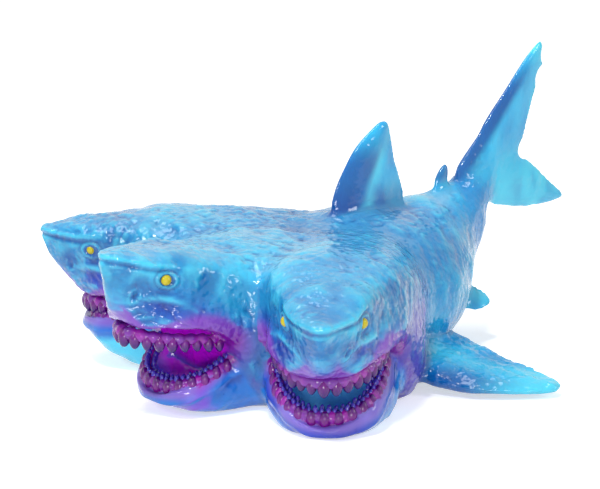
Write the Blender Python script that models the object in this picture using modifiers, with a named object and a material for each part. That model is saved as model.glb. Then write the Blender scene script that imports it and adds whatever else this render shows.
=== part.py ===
"""Shark figurine with three heads: one casting in clear blue vinyl, resting on its belly.

Metres, +Z up. The three heads fan out round -Y from the hub, which is the middle of the trunk,
and the tail runs back along +Y. The origin ends up under the middle of the bounding box.
"""

import math

import bmesh
import bpy
import numpy as np
from mathutils import Matrix, Vector

# Trunk and tail
TRUNK_HALF_WIDTH = 0.041
TRUNK_HEIGHT = 0.057
TRUNK_LENGTH = 0.078  # from the hub back to the end of the tail's stalk
STALK_HEIGHT = 0.059  # of the stalk's end above the ground
TAIL_SWAY = 0.0008  # how far the stalk's end swings to the left

# Heads, measured from the hub to the snout's tip and up from the ground
SIDE_REACH = 0.107
MIDDLE_REACH = 0.118
FAN_ANGLE = math.radians(43)
MIDDLE_TURN = math.radians(1.5)
MOUTH_LENGTH = 0.046  # from the snout's tip back to the mouth's corner
CHEEK_HALF_WIDTH = 0.0245
NECK_HALF_WIDTH = 0.0300
CROWN_HEIGHT = 0.0555
LIP_HEIGHT = 0.0220  # lower edge of the upper lip
MIDDLE_LIFT = math.radians(14)  # of the upper head about the jaw's hinge
MIDDLE_DROP = math.radians(9)  # of the lower jaw about the same hinge
MIDDLE_RETREAT = 0.0110  # how far the open jaw is drawn back
LEFT_LIFT = math.radians(-5.5)
LEFT_DROP = math.radians(13)
RIGHT_DROP = math.radians(-10)
RIGHT_RETREAT = 0.0026
NECK_ROOT = 0.0035  # how much deeper in the trunk each next neck ends

# Lower jaw
JAW_LENGTH = 0.031  # from the chin back to the mouth's corner
JAW_HALF_WIDTH = 0.0215
JAW_FRONT_HEIGHT = 0.0125
JAW_CORNER_HEIGHT = 0.0235

# Teeth and gums
TOOTH_COUNT = 16
TOOTH_LENGTH = 0.0050
TOOTH_HALF_WIDTH = 0.0017
GUM_RADIUS = 0.0022

# Eyes and nostrils
EYE_SETBACK = 0.0190
EYE_HEIGHT = 0.0435
EYE_RADIUS = 0.0023
LID_RADIUS = 0.0029
LID_THICKNESS = 0.0009
NOSTRIL_SETBACK = 0.0115
NOSTRIL_HEIGHT = 0.0365
NOSTRIL_RADIUS = 0.0011

# Fins: height or span, root chord and thickness
DORSAL_HEIGHT = 0.028
DORSAL_CHORD = 0.038
DORSAL_THICKNESS = 0.0085
DORSAL_START = -0.09  # share of the trunk's length behind the hub
FIN_SHIFT = 0.0004  # of the back's fins to the left, off the trunk's own middle line
PECTORAL_SPAN = 0.055  # from the root inside the flank
PECTORAL_CHORD = 0.038
PECTORAL_THICKNESS = 0.009
PELVIC_SPAN = 0.014
PELVIC_CHORD = 0.020
PELVIC_THICKNESS = 0.005
SECOND_DORSAL_HEIGHT = 0.0085
SECOND_DORSAL_CHORD = 0.012
SECOND_DORSAL_THICKNESS = 0.004
SECOND_DORSAL_START = 0.51  # share of the trunk's length behind the hub
UPPER_LOBE_RISE = 0.045
LOWER_LOBE_FALL = 0.0185
LOBE_CHORD = 0.026
LOBE_THICKNESS = 0.0075

SUBDIVISIONS = 1
RING_POINTS = 12
LID_STEPS = 9
WELD_DISTANCE = 0.00003
COVER_PASSES = 4
FACE_SHARE = 0.57  # of the joined form's faces that the casting keeps

BLUE = (0.10, 0.52, 0.80)
MAGENTA = (0.48, 0.03, 0.42)
PLUM = (0.16, 0.03, 0.34)
YELLOW = (0.80, 0.62, 0.03)


def clear_scene():
    for obj in list(bpy.data.objects):
        bpy.data.objects.remove(obj)


def new_collection(name):
    collection = bpy.data.collections.new(name)
    bpy.context.scene.collection.children.link(collection)
    return collection


def vinyl(name, colour, roughness=0.18):
    """A glossy vinyl paint of one colour."""
    material = bpy.data.materials.new(name)
    material.use_nodes = True
    shader = material.node_tree.nodes["Principled BSDF"]
    shader.inputs["Base Color"].default_value = (*colour, 1.0)
    shader.inputs["Roughness"].default_value = roughness
    shader.inputs["Metallic"].default_value = 0.0
    return material


def add_object(name, mesh, material, collection):
    """A helper form, which the casting joins or cuts, and which isn't shown by itself."""
    mesh.materials.append(material)
    obj = bpy.data.objects.new(name, mesh)
    obj.hide_render = True
    obj.display_type = "WIRE"
    collection.objects.link(obj)
    return obj


def add_subdivision(obj, levels=SUBDIVISIONS):
    modifier = obj.modifiers.new("subdivision", "SUBSURF")
    modifier.levels = levels
    modifier.render_levels = levels


def add_mirror(obj):
    modifier = obj.modifiers.new("mirror", "MIRROR")
    modifier.merge_threshold = 0.00005


def loft_mesh(name, rings, closed=True, capped=(True, True)):
    """Quads between rings of equal length, listed clockwise as seen looking along the loft."""
    mesh = bmesh.new()
    rows = [[mesh.verts.new(point) for point in ring] for ring in rings]
    count = len(rows[0])
    spans = count if closed else count - 1
    for near, far in zip(rows, rows[1:]):
        for i in range(spans):
            j = (i + 1) % count
            mesh.faces.new((near[i], near[j], far[j], far[i]))
    if capped[0]:
        mesh.faces.new(list(reversed(rows[0])))
    if capped[1]:
        mesh.faces.new(rows[-1])
    made = bpy.data.meshes.new(name)
    mesh.to_mesh(made)
    mesh.free()
    return made


def smooth_step(low, high, value):
    share = min(1.0, max(0.0, (value - low) / (high - low)))
    return share * share * (3 - 2 * share)


class Head:
    """One head's own frame: forward is -Y, left is +X, and the hub is the origin.

    A station is given by its setback from the snout's tip. The upper head turns up by lift
    about the hinge of the jaw, and the lower jaw turns down by drop.
    """

    def __init__(self, name, reach, yaw, root, drop, lift=0.0, retreat=0.0):
        self.name = name
        self.reach = reach
        self.yaw = yaw
        self.lift = lift
        self.drop = drop
        self.retreat = retreat
        self.root = root
        self.hinge = Vector((0, MOUTH_LENGTH + 0.003 - reach, LIP_HEIGHT + 0.003))

    def turned(self, setback, across, height, angle):
        point = Vector((across, setback - self.reach, height))
        bend = 1 - smooth_step(MOUTH_LENGTH * 0.80, MOUTH_LENGTH * 1.45, setback)
        return self.hinge + Matrix.Rotation(angle * bend, 4, "X") @ (point - self.hinge)

    def upper(self, setback, across, height):
        """A point of the upper head, in the head's own frame."""
        return self.turned(setback, across, height, -self.lift)

    def lower(self, setback, across, height):
        """A point of the lower jaw, in the head's own frame."""
        return self.turned(setback + self.retreat, across, height, self.drop)

    def set_down(self, obj):
        obj.rotation_euler = (0, 0, self.yaw)


# Half sections of the upper head from the crown down to the palate. Each row has the setback
# as a share of the mouth's length, then (share of the cheek's half width, share of the way
# from the lip's edge up to the crown) for the crown, its shoulder, the brow ridge, the eye's
# level, the cheek, the lip's bulge, the lip's edge, the gum and the palate.
SNOUT_SECTIONS = (
    (0.00, (0, 0.785), (0.04, 0.782), (0.06, 0.772), (0.06, 0.757), (0.05, 0.74),
     (0.04, 0.725), (0.03, 0.715), (0.02, 0.71), (0, 0.71)),
    (0.05, (0, 0.815), (0.11, 0.802), (0.175, 0.765), (0.16, 0.70), (0.12, 0.65),
     (0.09, 0.61), (0.06, 0.585), (0.03, 0.570), (0, 0.565)),
    (0.12, (0, 0.840), (0.21, 0.824), (0.305, 0.767), (0.28, 0.64), (0.23, 0.54),
     (0.18, 0.46), (0.12, 0.41), (0.06, 0.385), (0, 0.375)),
    (0.20, (0, 0.860), (0.29, 0.840), (0.415, 0.762), (0.38, 0.58), (0.34, 0.42),
     (0.28, 0.32), (0.20, 0.25), (0.10, 0.210), (0, 0.200)),
    (0.285, (0, 0.876), (0.36, 0.855), (0.505, 0.758), (0.455, 0.56), (0.43, 0.36),
     (0.36, 0.22), (0.24, 0.130), (0.12, 0.105), (0, 0.100)),
    (0.36, (0, 0.890), (0.39, 0.868), (0.550, 0.763), (0.495, 0.57), (0.53, 0.36),
     (0.56, 0.20), (0.46, 0.090), (0.30, 0.11), (0, 0.16)),
    (0.455, (0, 0.908), (0.42, 0.884), (0.595, 0.777), (0.545, 0.58), (0.62, 0.36),
     (0.69, 0.21), (0.63, 0.115), (0.46, 0.15), (0, 0.25)),
    (0.65, (0, 0.950), (0.49, 0.920), (0.715, 0.800), (0.72, 0.58), (0.78, 0.40),
     (0.85, 0.28), (0.80, 0.19), (0.62, 0.23), (0, 0.30)),
    (0.84, (0, 0.980), (0.55, 0.945), (0.82, 0.820), (0.88, 0.58), (0.92, 0.40),
     (0.94, 0.27), (0.88, 0.17), (0.70, 0.21), (0, 0.28)),
    (1.00, (0, 0.995), (0.62, 0.960), (0.92, 0.825), (1.01, 0.58), (1.05, 0.36),
     (1.02, 0.18), (0.94, 0.08), (0.72, 0.12), (0, 0.20)),
)

# The same for the neck, as shares of the way from the mouth's corner to the hub, of the neck's
# half width, and of the crown's height above the ground.
NECK_SECTIONS = (
    (0.16, (0, 1.000), (0.56, 0.970), (0.82, 0.88), (0.94, 0.72), (0.98, 0.54),
     (1.00, 0.34), (0.96, 0.05), (0.54, -0.08), (0, -0.09)),
    (0.40, (0, 0.975), (0.60, 0.940), (0.88, 0.84), (1.00, 0.68), (1.04, 0.48),
     (1.04, 0.22), (0.97, 0.00), (0.54, -0.09), (0, -0.10)),
    (0.70, (0, 0.940), (0.60, 0.900), (0.88, 0.80), (1.00, 0.64), (1.02, 0.46),
     (0.98, 0.26), (0.84, 0.08), (0.50, -0.02), (0, -0.03)),
    (1.00, (0, 0.880), (0.50, 0.850), (0.74, 0.76), (0.84, 0.62), (0.86, 0.46),
     (0.82, 0.28), (0.70, 0.14), (0.42, 0.06), (0, 0.05)),
)

# Half sections of the lower jaw from the mouth's floor round to the underside. Each row has
# the share of the way from the chin to the corner, then (share of the jaw's half width, share
# of the rim's height there) for the floor, its edge, the inner rim, the outer rim, the side,
# the lower side and the underside.
JAW_SECTIONS = (
    (-0.03, (0, 0.90), (0.10, 0.90), (0.18, 0.94), (0.21, 0.86), (0.20, 0.74), (0.14, 0.66),
     (0, 0.64)),
    (0.05, (0, 0.84), (0.26, 0.88), (0.42, 1.03), (0.50, 0.97), (0.49, 0.74), (0.38, 0.55),
     (0, 0.48)),
    (0.18, (0, 0.60), (0.38, 0.68), (0.56, 1.04), (0.70, 1.00), (0.70, 0.66), (0.54, 0.35),
     (0, 0.27)),
    (0.38, (0, 0.50), (0.50, 0.62), (0.68, 1.04), (0.85, 1.00), (0.87, 0.53), (0.70, 0.09),
     (0, -0.03)),
    (0.66, (0, 0.47), (0.60, 0.60), (0.79, 1.04), (0.95, 1.00), (1.00, 0.46), (0.85, -0.04),
     (0, -0.14)),
    (1.00, (0, 0.50), (0.66, 0.64), (0.86, 1.00), (1.01, 0.96), (1.12, 0.42), (1.00, -0.05),
     (0, -0.14)),
    (1.45, (0, 0.60), (0.60, 0.70), (0.82, 0.88), (0.98, 0.80), (1.18, 0.38), (1.03, -0.04),
     (0, -0.12)),
)


def upper_head(head, material, collection):
    """Skull, snout, upper lip, palate and neck, as one cage."""
    neck_length = head.reach - MOUTH_LENGTH + head.root
    crown_rise = CROWN_HEIGHT - LIP_HEIGHT
    sections = []
    for share, *profile in SNOUT_SECTIONS:
        sections.append([
            head.upper(share * MOUTH_LENGTH, v * CHEEK_HALF_WIDTH, LIP_HEIGHT + z * crown_rise)
            for v, z in profile
        ])
    for share, *profile in NECK_SECTIONS:
        sections.append([
            head.upper(MOUTH_LENGTH + share * neck_length, v * NECK_HALF_WIDTH,
                       z * CROWN_HEIGHT)
            for v, z in profile
        ])
    mesh = loft_mesh(f"{head.name}_skull", sections, closed=False)
    obj = add_object(f"{head.name}_skull", mesh, material, collection)
    add_mirror(obj)
    add_subdivision(obj)
    head.set_down(obj)
    return obj


def jaw_start():
    """The chin's setback from the snout's tip."""
    return MOUTH_LENGTH - JAW_LENGTH


def jaw_rim_height(share):
    """The lower gum's height, which climbs from the chin to the mouth's corner."""
    rise = JAW_CORNER_HEIGHT - JAW_FRONT_HEIGHT
    return JAW_FRONT_HEIGHT + rise * max(0.0, min(1.0, share)) ** 1.15


def lower_jaw(head, material, collection):
    sections = []
    for share, *profile in JAW_SECTIONS:
        rim = jaw_rim_height(share)
        sections.append([
            head.lower(jaw_start() + share * JAW_LENGTH, v * JAW_HALF_WIDTH, z * rim)
            for v, z in profile
        ])
    mesh = loft_mesh(f"{head.name}_jaw", sections, closed=False)
    obj = add_object(f"{head.name}_jaw", mesh, material, collection)
    add_mirror(obj)
    add_subdivision(obj)
    head.set_down(obj)
    return obj


def jaw_arch(front, back, half_width, steps, squareness=2.3):
    """(setback, across) along a dental arch from the right corner round the front."""
    points = []
    for i in range(steps):
        turn = math.radians(90) * (2 * i / (steps - 1) - 1)
        along = abs(math.cos(turn)) ** (2 / squareness)
        across = math.copysign(abs(math.sin(turn)) ** (2 / squareness), turn)
        points.append((back - (back - front) * along, half_width * across))
    return points


def upper_arch(steps):
    """Points of the upper gum's middle, as (setback, across, height)."""
    front, back = 0.335 * MOUTH_LENGTH, 0.95 * MOUTH_LENGTH
    arch = jaw_arch(front, back, 0.74 * CHEEK_HALF_WIDTH, steps, squareness=2.0)
    return [(s, v, LIP_HEIGHT + 0.0012 + 0.0025 * smooth_step(front, back, s))
            for s, v in arch]


def lower_arch(steps):
    front = jaw_start() + 0.12 * JAW_LENGTH
    back = jaw_start() + 0.93 * JAW_LENGTH
    arch = jaw_arch(front, back, 0.84 * JAW_HALF_WIDTH, steps)
    return [(s, v, jaw_rim_height((s - jaw_start()) / JAW_LENGTH) - 0.0004) for s, v in arch]


def tube_mesh(name, points, radius, sides_resolution=1):
    """A round rod along the points, thinner at both ends, as a closed mesh."""
    data = bpy.data.curves.new(name, "CURVE")
    data.dimensions = "3D"
    data.bevel_depth = radius
    data.bevel_resolution = sides_resolution
    data.use_fill_caps = True
    spline = data.splines.new("POLY")
    spline.points.add(len(points) - 1)
    for i, (target, point) in enumerate(zip(spline.points, points)):
        target.co = (*point, 1.0)
        end = abs(2 * i / (len(points) - 1) - 1)
        target.radius = 1.0 - 0.35 * end ** 3
    rod = bpy.data.objects.new(name, data)
    bpy.context.scene.collection.objects.link(rod)
    bpy.context.view_layer.update()
    evaluated = rod.evaluated_get(bpy.context.evaluated_depsgraph_get())
    mesh = bpy.data.meshes.new_from_object(evaluated)
    bpy.data.objects.remove(rod)
    welded = bmesh.new()
    welded.from_mesh(mesh)
    bmesh.ops.remove_doubles(welded, verts=welded.verts, dist=1e-6)
    welded.to_mesh(mesh)
    welded.free()
    mesh.materials.clear()
    return mesh


def gum(head, name, place, arch, material, collection):
    points = [place(s, v, z) for s, v, z in arch]
    mesh = tube_mesh(f"{head.name}_{name}", points, GUM_RADIUS)
    obj = add_object(f"{head.name}_{name}", mesh, material, collection)
    head.set_down(obj)
    return obj


def add_tooth(mesh, root, axis, half_width, length):
    """A blunt drop of a tooth, whose root is sunk in the gum."""
    made = bmesh.ops.create_uvsphere(mesh, u_segments=5, v_segments=3, radius=1.0)
    turn = axis.to_track_quat("Z", "Y").to_matrix().to_4x4()
    for vert in made["verts"]:
        taper = 1.0 - 0.38 * max(0.0, vert.co.z)
        local = Vector((vert.co.x * half_width * taper, vert.co.y * half_width * taper,
                        vert.co.z * length))
        vert.co = root + turn @ local


def teeth(head, name, place, arch, pointing, material, collection):
    """A row of teeth, at equal steps along the arch and pointing down or up."""
    path = [place(s, v, z) for s, v, z in arch]
    lengths = [(b - a).length for a, b in zip(path, path[1:])]
    reached = np.concatenate([[0.0], np.cumsum(lengths)])
    coords = np.array(path)
    centre = place(0.9 * MOUTH_LENGTH, 0, arch[0][2])
    mesh = bmesh.new()
    for i in range(TOOTH_COUNT):
        at = reached[-1] * (i + 0.5) / TOOTH_COUNT
        root = Vector([float(np.interp(at, reached, coords[:, k])) for k in range(3)])
        outward = Vector((root.x - centre.x, root.y - centre.y, 0)).normalized()
        axis = (Vector((0, 0, pointing)) + 0.22 * outward).normalized()
        side = abs(2 * (i + 0.5) / TOOTH_COUNT - 1)
        size = 1.0 - 0.28 * side ** 2
        add_tooth(mesh, root, axis, TOOTH_HALF_WIDTH * (1.0 - 0.15 * side), TOOTH_LENGTH * size)
    made = bpy.data.meshes.new(f"{head.name}_{name}")
    mesh.to_mesh(made)
    mesh.free()
    obj = add_object(f"{head.name}_{name}", made, material, collection)
    head.set_down(obj)
    return obj


def side_half_width(setback_share, height_share):
    """The upper head's half width at a setback and height, read from its sections."""
    for (a, *near), (b, *far) in zip(SNOUT_SECTIONS, SNOUT_SECTIONS[1:]):
        if a <= setback_share <= b:
            mix = (setback_share - a) / (b - a)
            found = []
            for profile in (near, far):
                side = profile[2:7]
                heights = [z for _, z in reversed(side)]
                widths = [v for v, _ in reversed(side)]
                found.append(np.interp(height_share, heights, widths))
            return CHEEK_HALF_WIDTH * float(found[0] + mix * (found[1] - found[0]))
    raise ValueError("the setback lies outside the snout")


def on_face(setback, height, sink):
    """(setback, across, height) of a point on the left side of the snout, sunk a little."""
    share = (height - LIP_HEIGHT) / (CROWN_HEIGHT - LIP_HEIGHT)
    across = side_half_width(setback / MOUTH_LENGTH, share)
    return setback, across - sink, height


def eyes(head, iris, lid, collection):
    """Both eyeballs and both eyelid rims."""
    setback, across, height = on_face(EYE_SETBACK, EYE_HEIGHT, 0.55 * EYE_RADIUS)
    balls, lids = bmesh.new(), bmesh.new()
    for side in (-1, 1):
        centre = head.upper(setback, side * across, height)
        facing = Vector((side, -0.45, 0.12)).normalized()
        turn = facing.to_track_quat("Z", "Y").to_matrix().to_4x4()
        bmesh.ops.create_uvsphere(balls, u_segments=7, v_segments=5, radius=EYE_RADIUS,
                                  matrix=Matrix.Translation(centre) @ turn)
        lid_centre = centre + facing * (0.25 * EYE_RADIUS)
        rings = []
        for i in range(LID_STEPS):
            angle = math.tau * i / LID_STEPS
            spoke = Vector((math.cos(angle), math.sin(angle), 0))
            ring = []
            for j in range(4):
                around = math.tau * j / 4
                out = spoke * (LID_RADIUS + LID_THICKNESS * math.cos(around))
                up = Vector((0, 0, LID_THICKNESS * math.sin(around)))
                ring.append(lid_centre + turn @ (out + up))
            rings.append([lids.verts.new(point) for point in ring])
        for i in range(LID_STEPS):
            near, far = rings[i], rings[(i + 1) % LID_STEPS]
            for j in range(4):
                k = (j + 1) % 4
                lids.faces.new((near[j], far[j], far[k], near[k]))
    bmesh.ops.recalc_face_normals(lids, faces=lids.faces)
    made = []
    for name, mesh, material in (("eyeballs", balls, iris), ("eyelids", lids, lid)):
        data = bpy.data.meshes.new(f"{head.name}_{name}")
        mesh.to_mesh(data)
        mesh.free()
        obj = add_object(f"{head.name}_{name}", data, material, collection)
        head.set_down(obj)
        made.append(obj)
    return made[1], made[0]


# The trunk's sections: the share of its length behind the hub, its middle's height as a share
# of the stalk's, the shares of half width and half height, and its lean in degrees.
TRUNK_SECTIONS = (
    (-0.49, 0.45, 0.63, 0.80, 0),
    (-0.19, 0.445, 0.93, 0.98, 0),
    (0.13, 0.45, 1.00, 1.02, 0),
    (0.36, 0.430, 0.87, 0.90, 4),
    (0.54, 0.55, 0.54, 0.80, 16),
    (0.67, 0.68, 0.33, 0.57, 30),
    (0.77, 0.81, 0.21, 0.37, 42),
    (0.86, 0.92, 0.14, 0.28, 46),
    (0.95, 1.03, 0.08, 0.23, 48),
)


def sway(share):
    """How far to the left the trunk's middle lies at a share of its length."""
    return TAIL_SWAY * max(0.0, share) ** 2


def back_height(share):
    """Height of the trunk's top at a share of its length."""
    stations = [row[0] for row in TRUNK_SECTIONS]
    tops = [rise * STALK_HEIGHT + 0.5 * high * math.cos(math.radians(lean)) * TRUNK_HEIGHT
            for _, rise, _, high, lean in TRUNK_SECTIONS]
    return float(np.interp(share, stations, tops))


def trunk(material, collection):
    rings = []
    for share, rise, wide, high, lean in TRUNK_SECTIONS:
        turn = Matrix.Rotation(math.radians(lean), 4, "X")
        centre = Vector((sway(share), share * TRUNK_LENGTH, rise * STALK_HEIGHT))
        ring = []
        for i in range(RING_POINTS):
            angle = math.tau * (i + 0.5) / RING_POINTS
            across = math.sin(angle) * wide * TRUNK_HALF_WIDTH
            up = math.cos(angle) * high * TRUNK_HEIGHT / 2
            ring.append(centre + turn @ Vector((across, 0, up)))
        rings.append(ring)
    mesh = loft_mesh("trunk", rings)
    obj = add_object("trunk", mesh, material, collection)
    add_subdivision(obj)
    return obj


def curve_point(points, share):
    """A point on the quadratic curve through a start, a handle and an end."""
    start, handle, end = (Vector(p) for p in points)
    return start * (1 - share) ** 2 + handle * 2 * share * (1 - share) + end * share ** 2


def fin(name, leading, trailing, flat_normal, thickness, material, collection, stations=4):
    """A fin between two curved edges, thickest near a third of its chord."""
    normal = Vector(flat_normal).normalized()
    shape = ((0.0, 0.0), (0.08, 0.62), (0.34, 1.0), (0.74, 0.55), (1.0, 0.0))
    rings = []
    for i in range(stations):
        share = i / (stations - 1)
        front = curve_point(leading, share)
        back = curve_point(trailing, share)
        half = 0.5 * thickness * (1 - 0.72 * share)
        one_side = [front.lerp(back, c) + normal * half * t for c, t in shape]
        other_side = [front.lerp(back, c) - normal * half * t for c, t in shape[1:-1]]
        rings.append(one_side + list(reversed(other_side)))
    mesh = loft_mesh(name, rings)
    work = bmesh.new()
    work.from_mesh(mesh)
    bmesh.ops.recalc_face_normals(work, faces=work.faces)
    work.to_mesh(mesh)
    work.free()
    obj = add_object(name, mesh, material, collection)
    add_subdivision(obj)
    return obj


def upright_fin(name, foot, chord, height, edges, thickness, material, collection):
    """A fin standing on the back. Its edges are shares of the chord and the height."""
    x, y, z = foot
    leading, trailing = (
        [(x, y + along * chord, z + up * height) for along, up in edge] for edge in edges)
    return fin(name, leading, trailing, (1, 0, 0), thickness, material, collection)


def dorsal_fins(material, collection):
    first = upright_fin(
        "dorsal_fin", (sway(0.25) + FIN_SHIFT, DORSAL_START * TRUNK_LENGTH, back_height(0.13)),
        DORSAL_CHORD, DORSAL_HEIGHT,
        (((-0.08, -0.50), (-0.03, 0.70), (0.69, 1.05)),
         ((1.12, -0.50), (0.84, 0.28), (0.745, 0.94))),
        DORSAL_THICKNESS, material, collection)
    second = upright_fin(
        "second_dorsal_fin", (sway(0.6) + FIN_SHIFT, SECOND_DORSAL_START * TRUNK_LENGTH,
                              back_height(SECOND_DORSAL_START)),
        SECOND_DORSAL_CHORD, SECOND_DORSAL_HEIGHT,
        (((0.00, -0.80), (0.25, 0.60), (0.75, 1.10)),
         ((1.20, -0.60), (0.95, 0.45), (0.85, 1.02))),
        SECOND_DORSAL_THICKNESS, material, collection)
    return [first, second]


def paired_fin(name, side, root, chord, span, edges, thickness, material, collection):
    """A fin that leaves the flank. Its edges are shares of span and chord, then a height."""
    x, y = root
    leading, trailing = (
        [(side * (x + out * span), y + along * chord, z) for out, along, z in edge]
        for edge in edges)
    inner_drop = (trailing[0][2] - leading[0][2]) / chord
    outer_drop = (leading[0][2] - leading[2][2]) / span
    return fin(name, leading, trailing, (side * outer_drop, -inner_drop, 1), thickness,
               material, collection)


def pectoral_fins(material, collection):
    edges = (((0.00, 0.00, 0.0075), (0.70, 0.10, 0.0020), (1.01, 0.90, 0.0028)),
             ((0.00, 1.00, 0.0125), (0.49, 0.95, 0.0090), (0.97, 1.07, 0.0036)))
    return [paired_fin(f"{name}_pectoral_fin", side, (0.64 * TRUNK_HALF_WIDTH, -0.012),
                       PECTORAL_CHORD, PECTORAL_SPAN, edges, PECTORAL_THICKNESS, material,
                       collection)
            for name, side in (("left", 1), ("right", -1))]


def pelvic_fins(material, collection):
    edges = (((0.30, 0.00, 0.0175), (1.15, 0.50, 0.0160), (0.90, 0.95, 0.0150)),
             ((-0.25, 0.75, 0.0225), (0.30, 0.92, 0.0190), (0.78, 1.00, 0.0158)))
    return [paired_fin(f"{name}_pelvic_fin", side, (0.20 * TRUNK_HALF_WIDTH, 0.033),
                       PELVIC_CHORD, PELVIC_SPAN, edges, PELVIC_THICKNESS, material,
                       collection)
            for name, side in (("left", 1), ("right", -1))]


def tail_fin(material, collection):
    """Upper and lower lobes of the tail, from the end of the stalk."""
    x, y, z = sway(1), TRUNK_LENGTH, STALK_HEIGHT
    curl = 0.5 * TAIL_SWAY
    upper = fin(
        "tail_upper_lobe",
        ((x, y - 0.028, z - 0.004), (x, y - 0.010, z + 0.40 * UPPER_LOBE_RISE),
         (x + curl, y + 0.79 * LOBE_CHORD, z + 1.11 * UPPER_LOBE_RISE)),
        ((x, y + 0.30 * LOBE_CHORD, z - 0.012), (x, y + 0.52 * LOBE_CHORD, z + 0.014),
         (x + curl, y + 0.88 * LOBE_CHORD, z + 0.84 * UPPER_LOBE_RISE)),
        (1, 0, 0), LOBE_THICKNESS, material, collection, stations=5)
    lower = fin(
        "tail_lower_lobe",
        ((x - 0.2 * curl, y - 0.013, z - 0.012),
         (x - 0.2 * curl, y + 0.45 * LOBE_CHORD, z - 1.12 * LOWER_LOBE_FALL),
         (x - curl, y + 1.34 * LOBE_CHORD, z - LOWER_LOBE_FALL)),
        ((x - 0.2 * curl, y - 0.006, z + 0.016),
         (x - 0.2 * curl, y + 0.60 * LOBE_CHORD, z),
         (x - curl, y + 1.30 * LOBE_CHORD, z - 0.88 * LOWER_LOBE_FALL)),
        (1, 0, 0), LOBE_THICKNESS, material, collection)
    return [upper, lower]


def ground_cutter(collection):
    """Everything under the ground, to flatten the belly, chins and fin tips that meet it."""
    bpy.ops.mesh.primitive_cube_add(size=1)
    cutter = bpy.context.object
    for owner in list(cutter.users_collection):
        owner.objects.unlink(cutter)
    cutter.name = "ground"
    cutter.data.transform(Matrix.Translation((0, 0, -0.05)) @ Matrix.Diagonal((0.6, 0.6, 0.1, 1)))
    cutter.hide_render = True
    cutter.display_type = "WIRE"
    collection.objects.link(cutter)
    return cutter


def nostril_cutters(head, material, collection):
    setback, across, height = on_face(NOSTRIL_SETBACK, NOSTRIL_HEIGHT, 0)
    mesh = bmesh.new()
    for side in (-1, 1):
        centre = head.upper(setback, side * across, height)
        stretch = Matrix.Diagonal((1.0, 1.0, 1.6, 1.0))
        bmesh.ops.create_uvsphere(mesh, u_segments=6, v_segments=4, radius=NOSTRIL_RADIUS,
                                  matrix=Matrix.Translation(centre) @ stretch)
    made = bpy.data.meshes.new(f"{head.name}_nostrils")
    mesh.to_mesh(made)
    mesh.free()
    obj = add_object(f"{head.name}_nostrils", made, material, collection)
    head.set_down(obj)
    return obj


def add_triangulation(obj):
    """Flat faces only, which the Booleans need."""
    modifier = obj.modifiers.new("flat_faces", "TRIANGULATE")
    modifier.min_vertices = 4


def add_boolean(obj, other, operation):
    modifier = obj.modifiers.new(other.name, "BOOLEAN")
    modifier.object = other
    modifier.operation = operation
    modifier.solver = "EXACT"
    modifier.material_mode = "TRANSFER"


def realised(obj):
    """The object's mesh with its modifiers applied."""
    bpy.context.view_layer.update()
    evaluated = obj.evaluated_get(bpy.context.evaluated_depsgraph_get())
    return bpy.data.meshes.new_from_object(evaluated)


def weld_slivers(mesh):
    """Joins points closer than the casting's finest detail, and covers the spots left bare."""
    work = bmesh.new()
    work.from_mesh(mesh)
    bmesh.ops.remove_doubles(work, verts=work.verts, dist=WELD_DISTANCE)
    bmesh.ops.dissolve_degenerate(work, edges=work.edges, dist=WELD_DISTANCE)
    bmesh.ops.triangulate(work, faces=work.faces)
    for _ in range(COVER_PASSES):
        crowded = {v for e in work.edges if not e.is_manifold for v in e.verts}
        if not crowded:
            break
        bmesh.ops.delete(work, geom=list(crowded), context="VERTS")
        covers = bmesh.ops.holes_fill(work, edges=[e for e in work.edges if e.is_boundary])
        for face in covers["faces"]:
            face.material_index = 0
        bmesh.ops.triangulate(work, faces=work.faces)
    loose = [v for v in work.verts if not v.link_faces]
    bmesh.ops.delete(work, geom=loose, context="VERTS")
    bmesh.ops.recalc_face_normals(work, faces=work.faces)
    work.to_mesh(mesh)
    work.free()


def settle(body, name, forms, shown):
    """Makes the joined form one mesh whose origin is under the middle of its bounding box."""
    welded = realised(body)
    weld_slivers(welded)
    rough = bpy.data.objects.new("welded_casting", welded)
    rough.hide_render = True
    rough.display_type = "WIRE"
    forms.objects.link(rough)
    thinning = rough.modifiers.new("thinning", "DECIMATE")
    thinning.ratio = FACE_SHARE
    add_boolean(rough, ground_cutter(forms), "DIFFERENCE")
    mesh = realised(rough)
    mesh.name = name
    coords = np.array([v.co for v in mesh.vertices])
    low, high = coords.min(axis=0), coords.max(axis=0)
    middle = (low + high) / 2
    mesh.transform(Matrix.Translation((-middle[0], -middle[1], -low[2])))
    mesh.shade_smooth()
    mesh.set_sharp_from_angle(angle=math.radians(50))
    casting = bpy.data.objects.new(name, mesh)
    shown.objects.link(casting)


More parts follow.
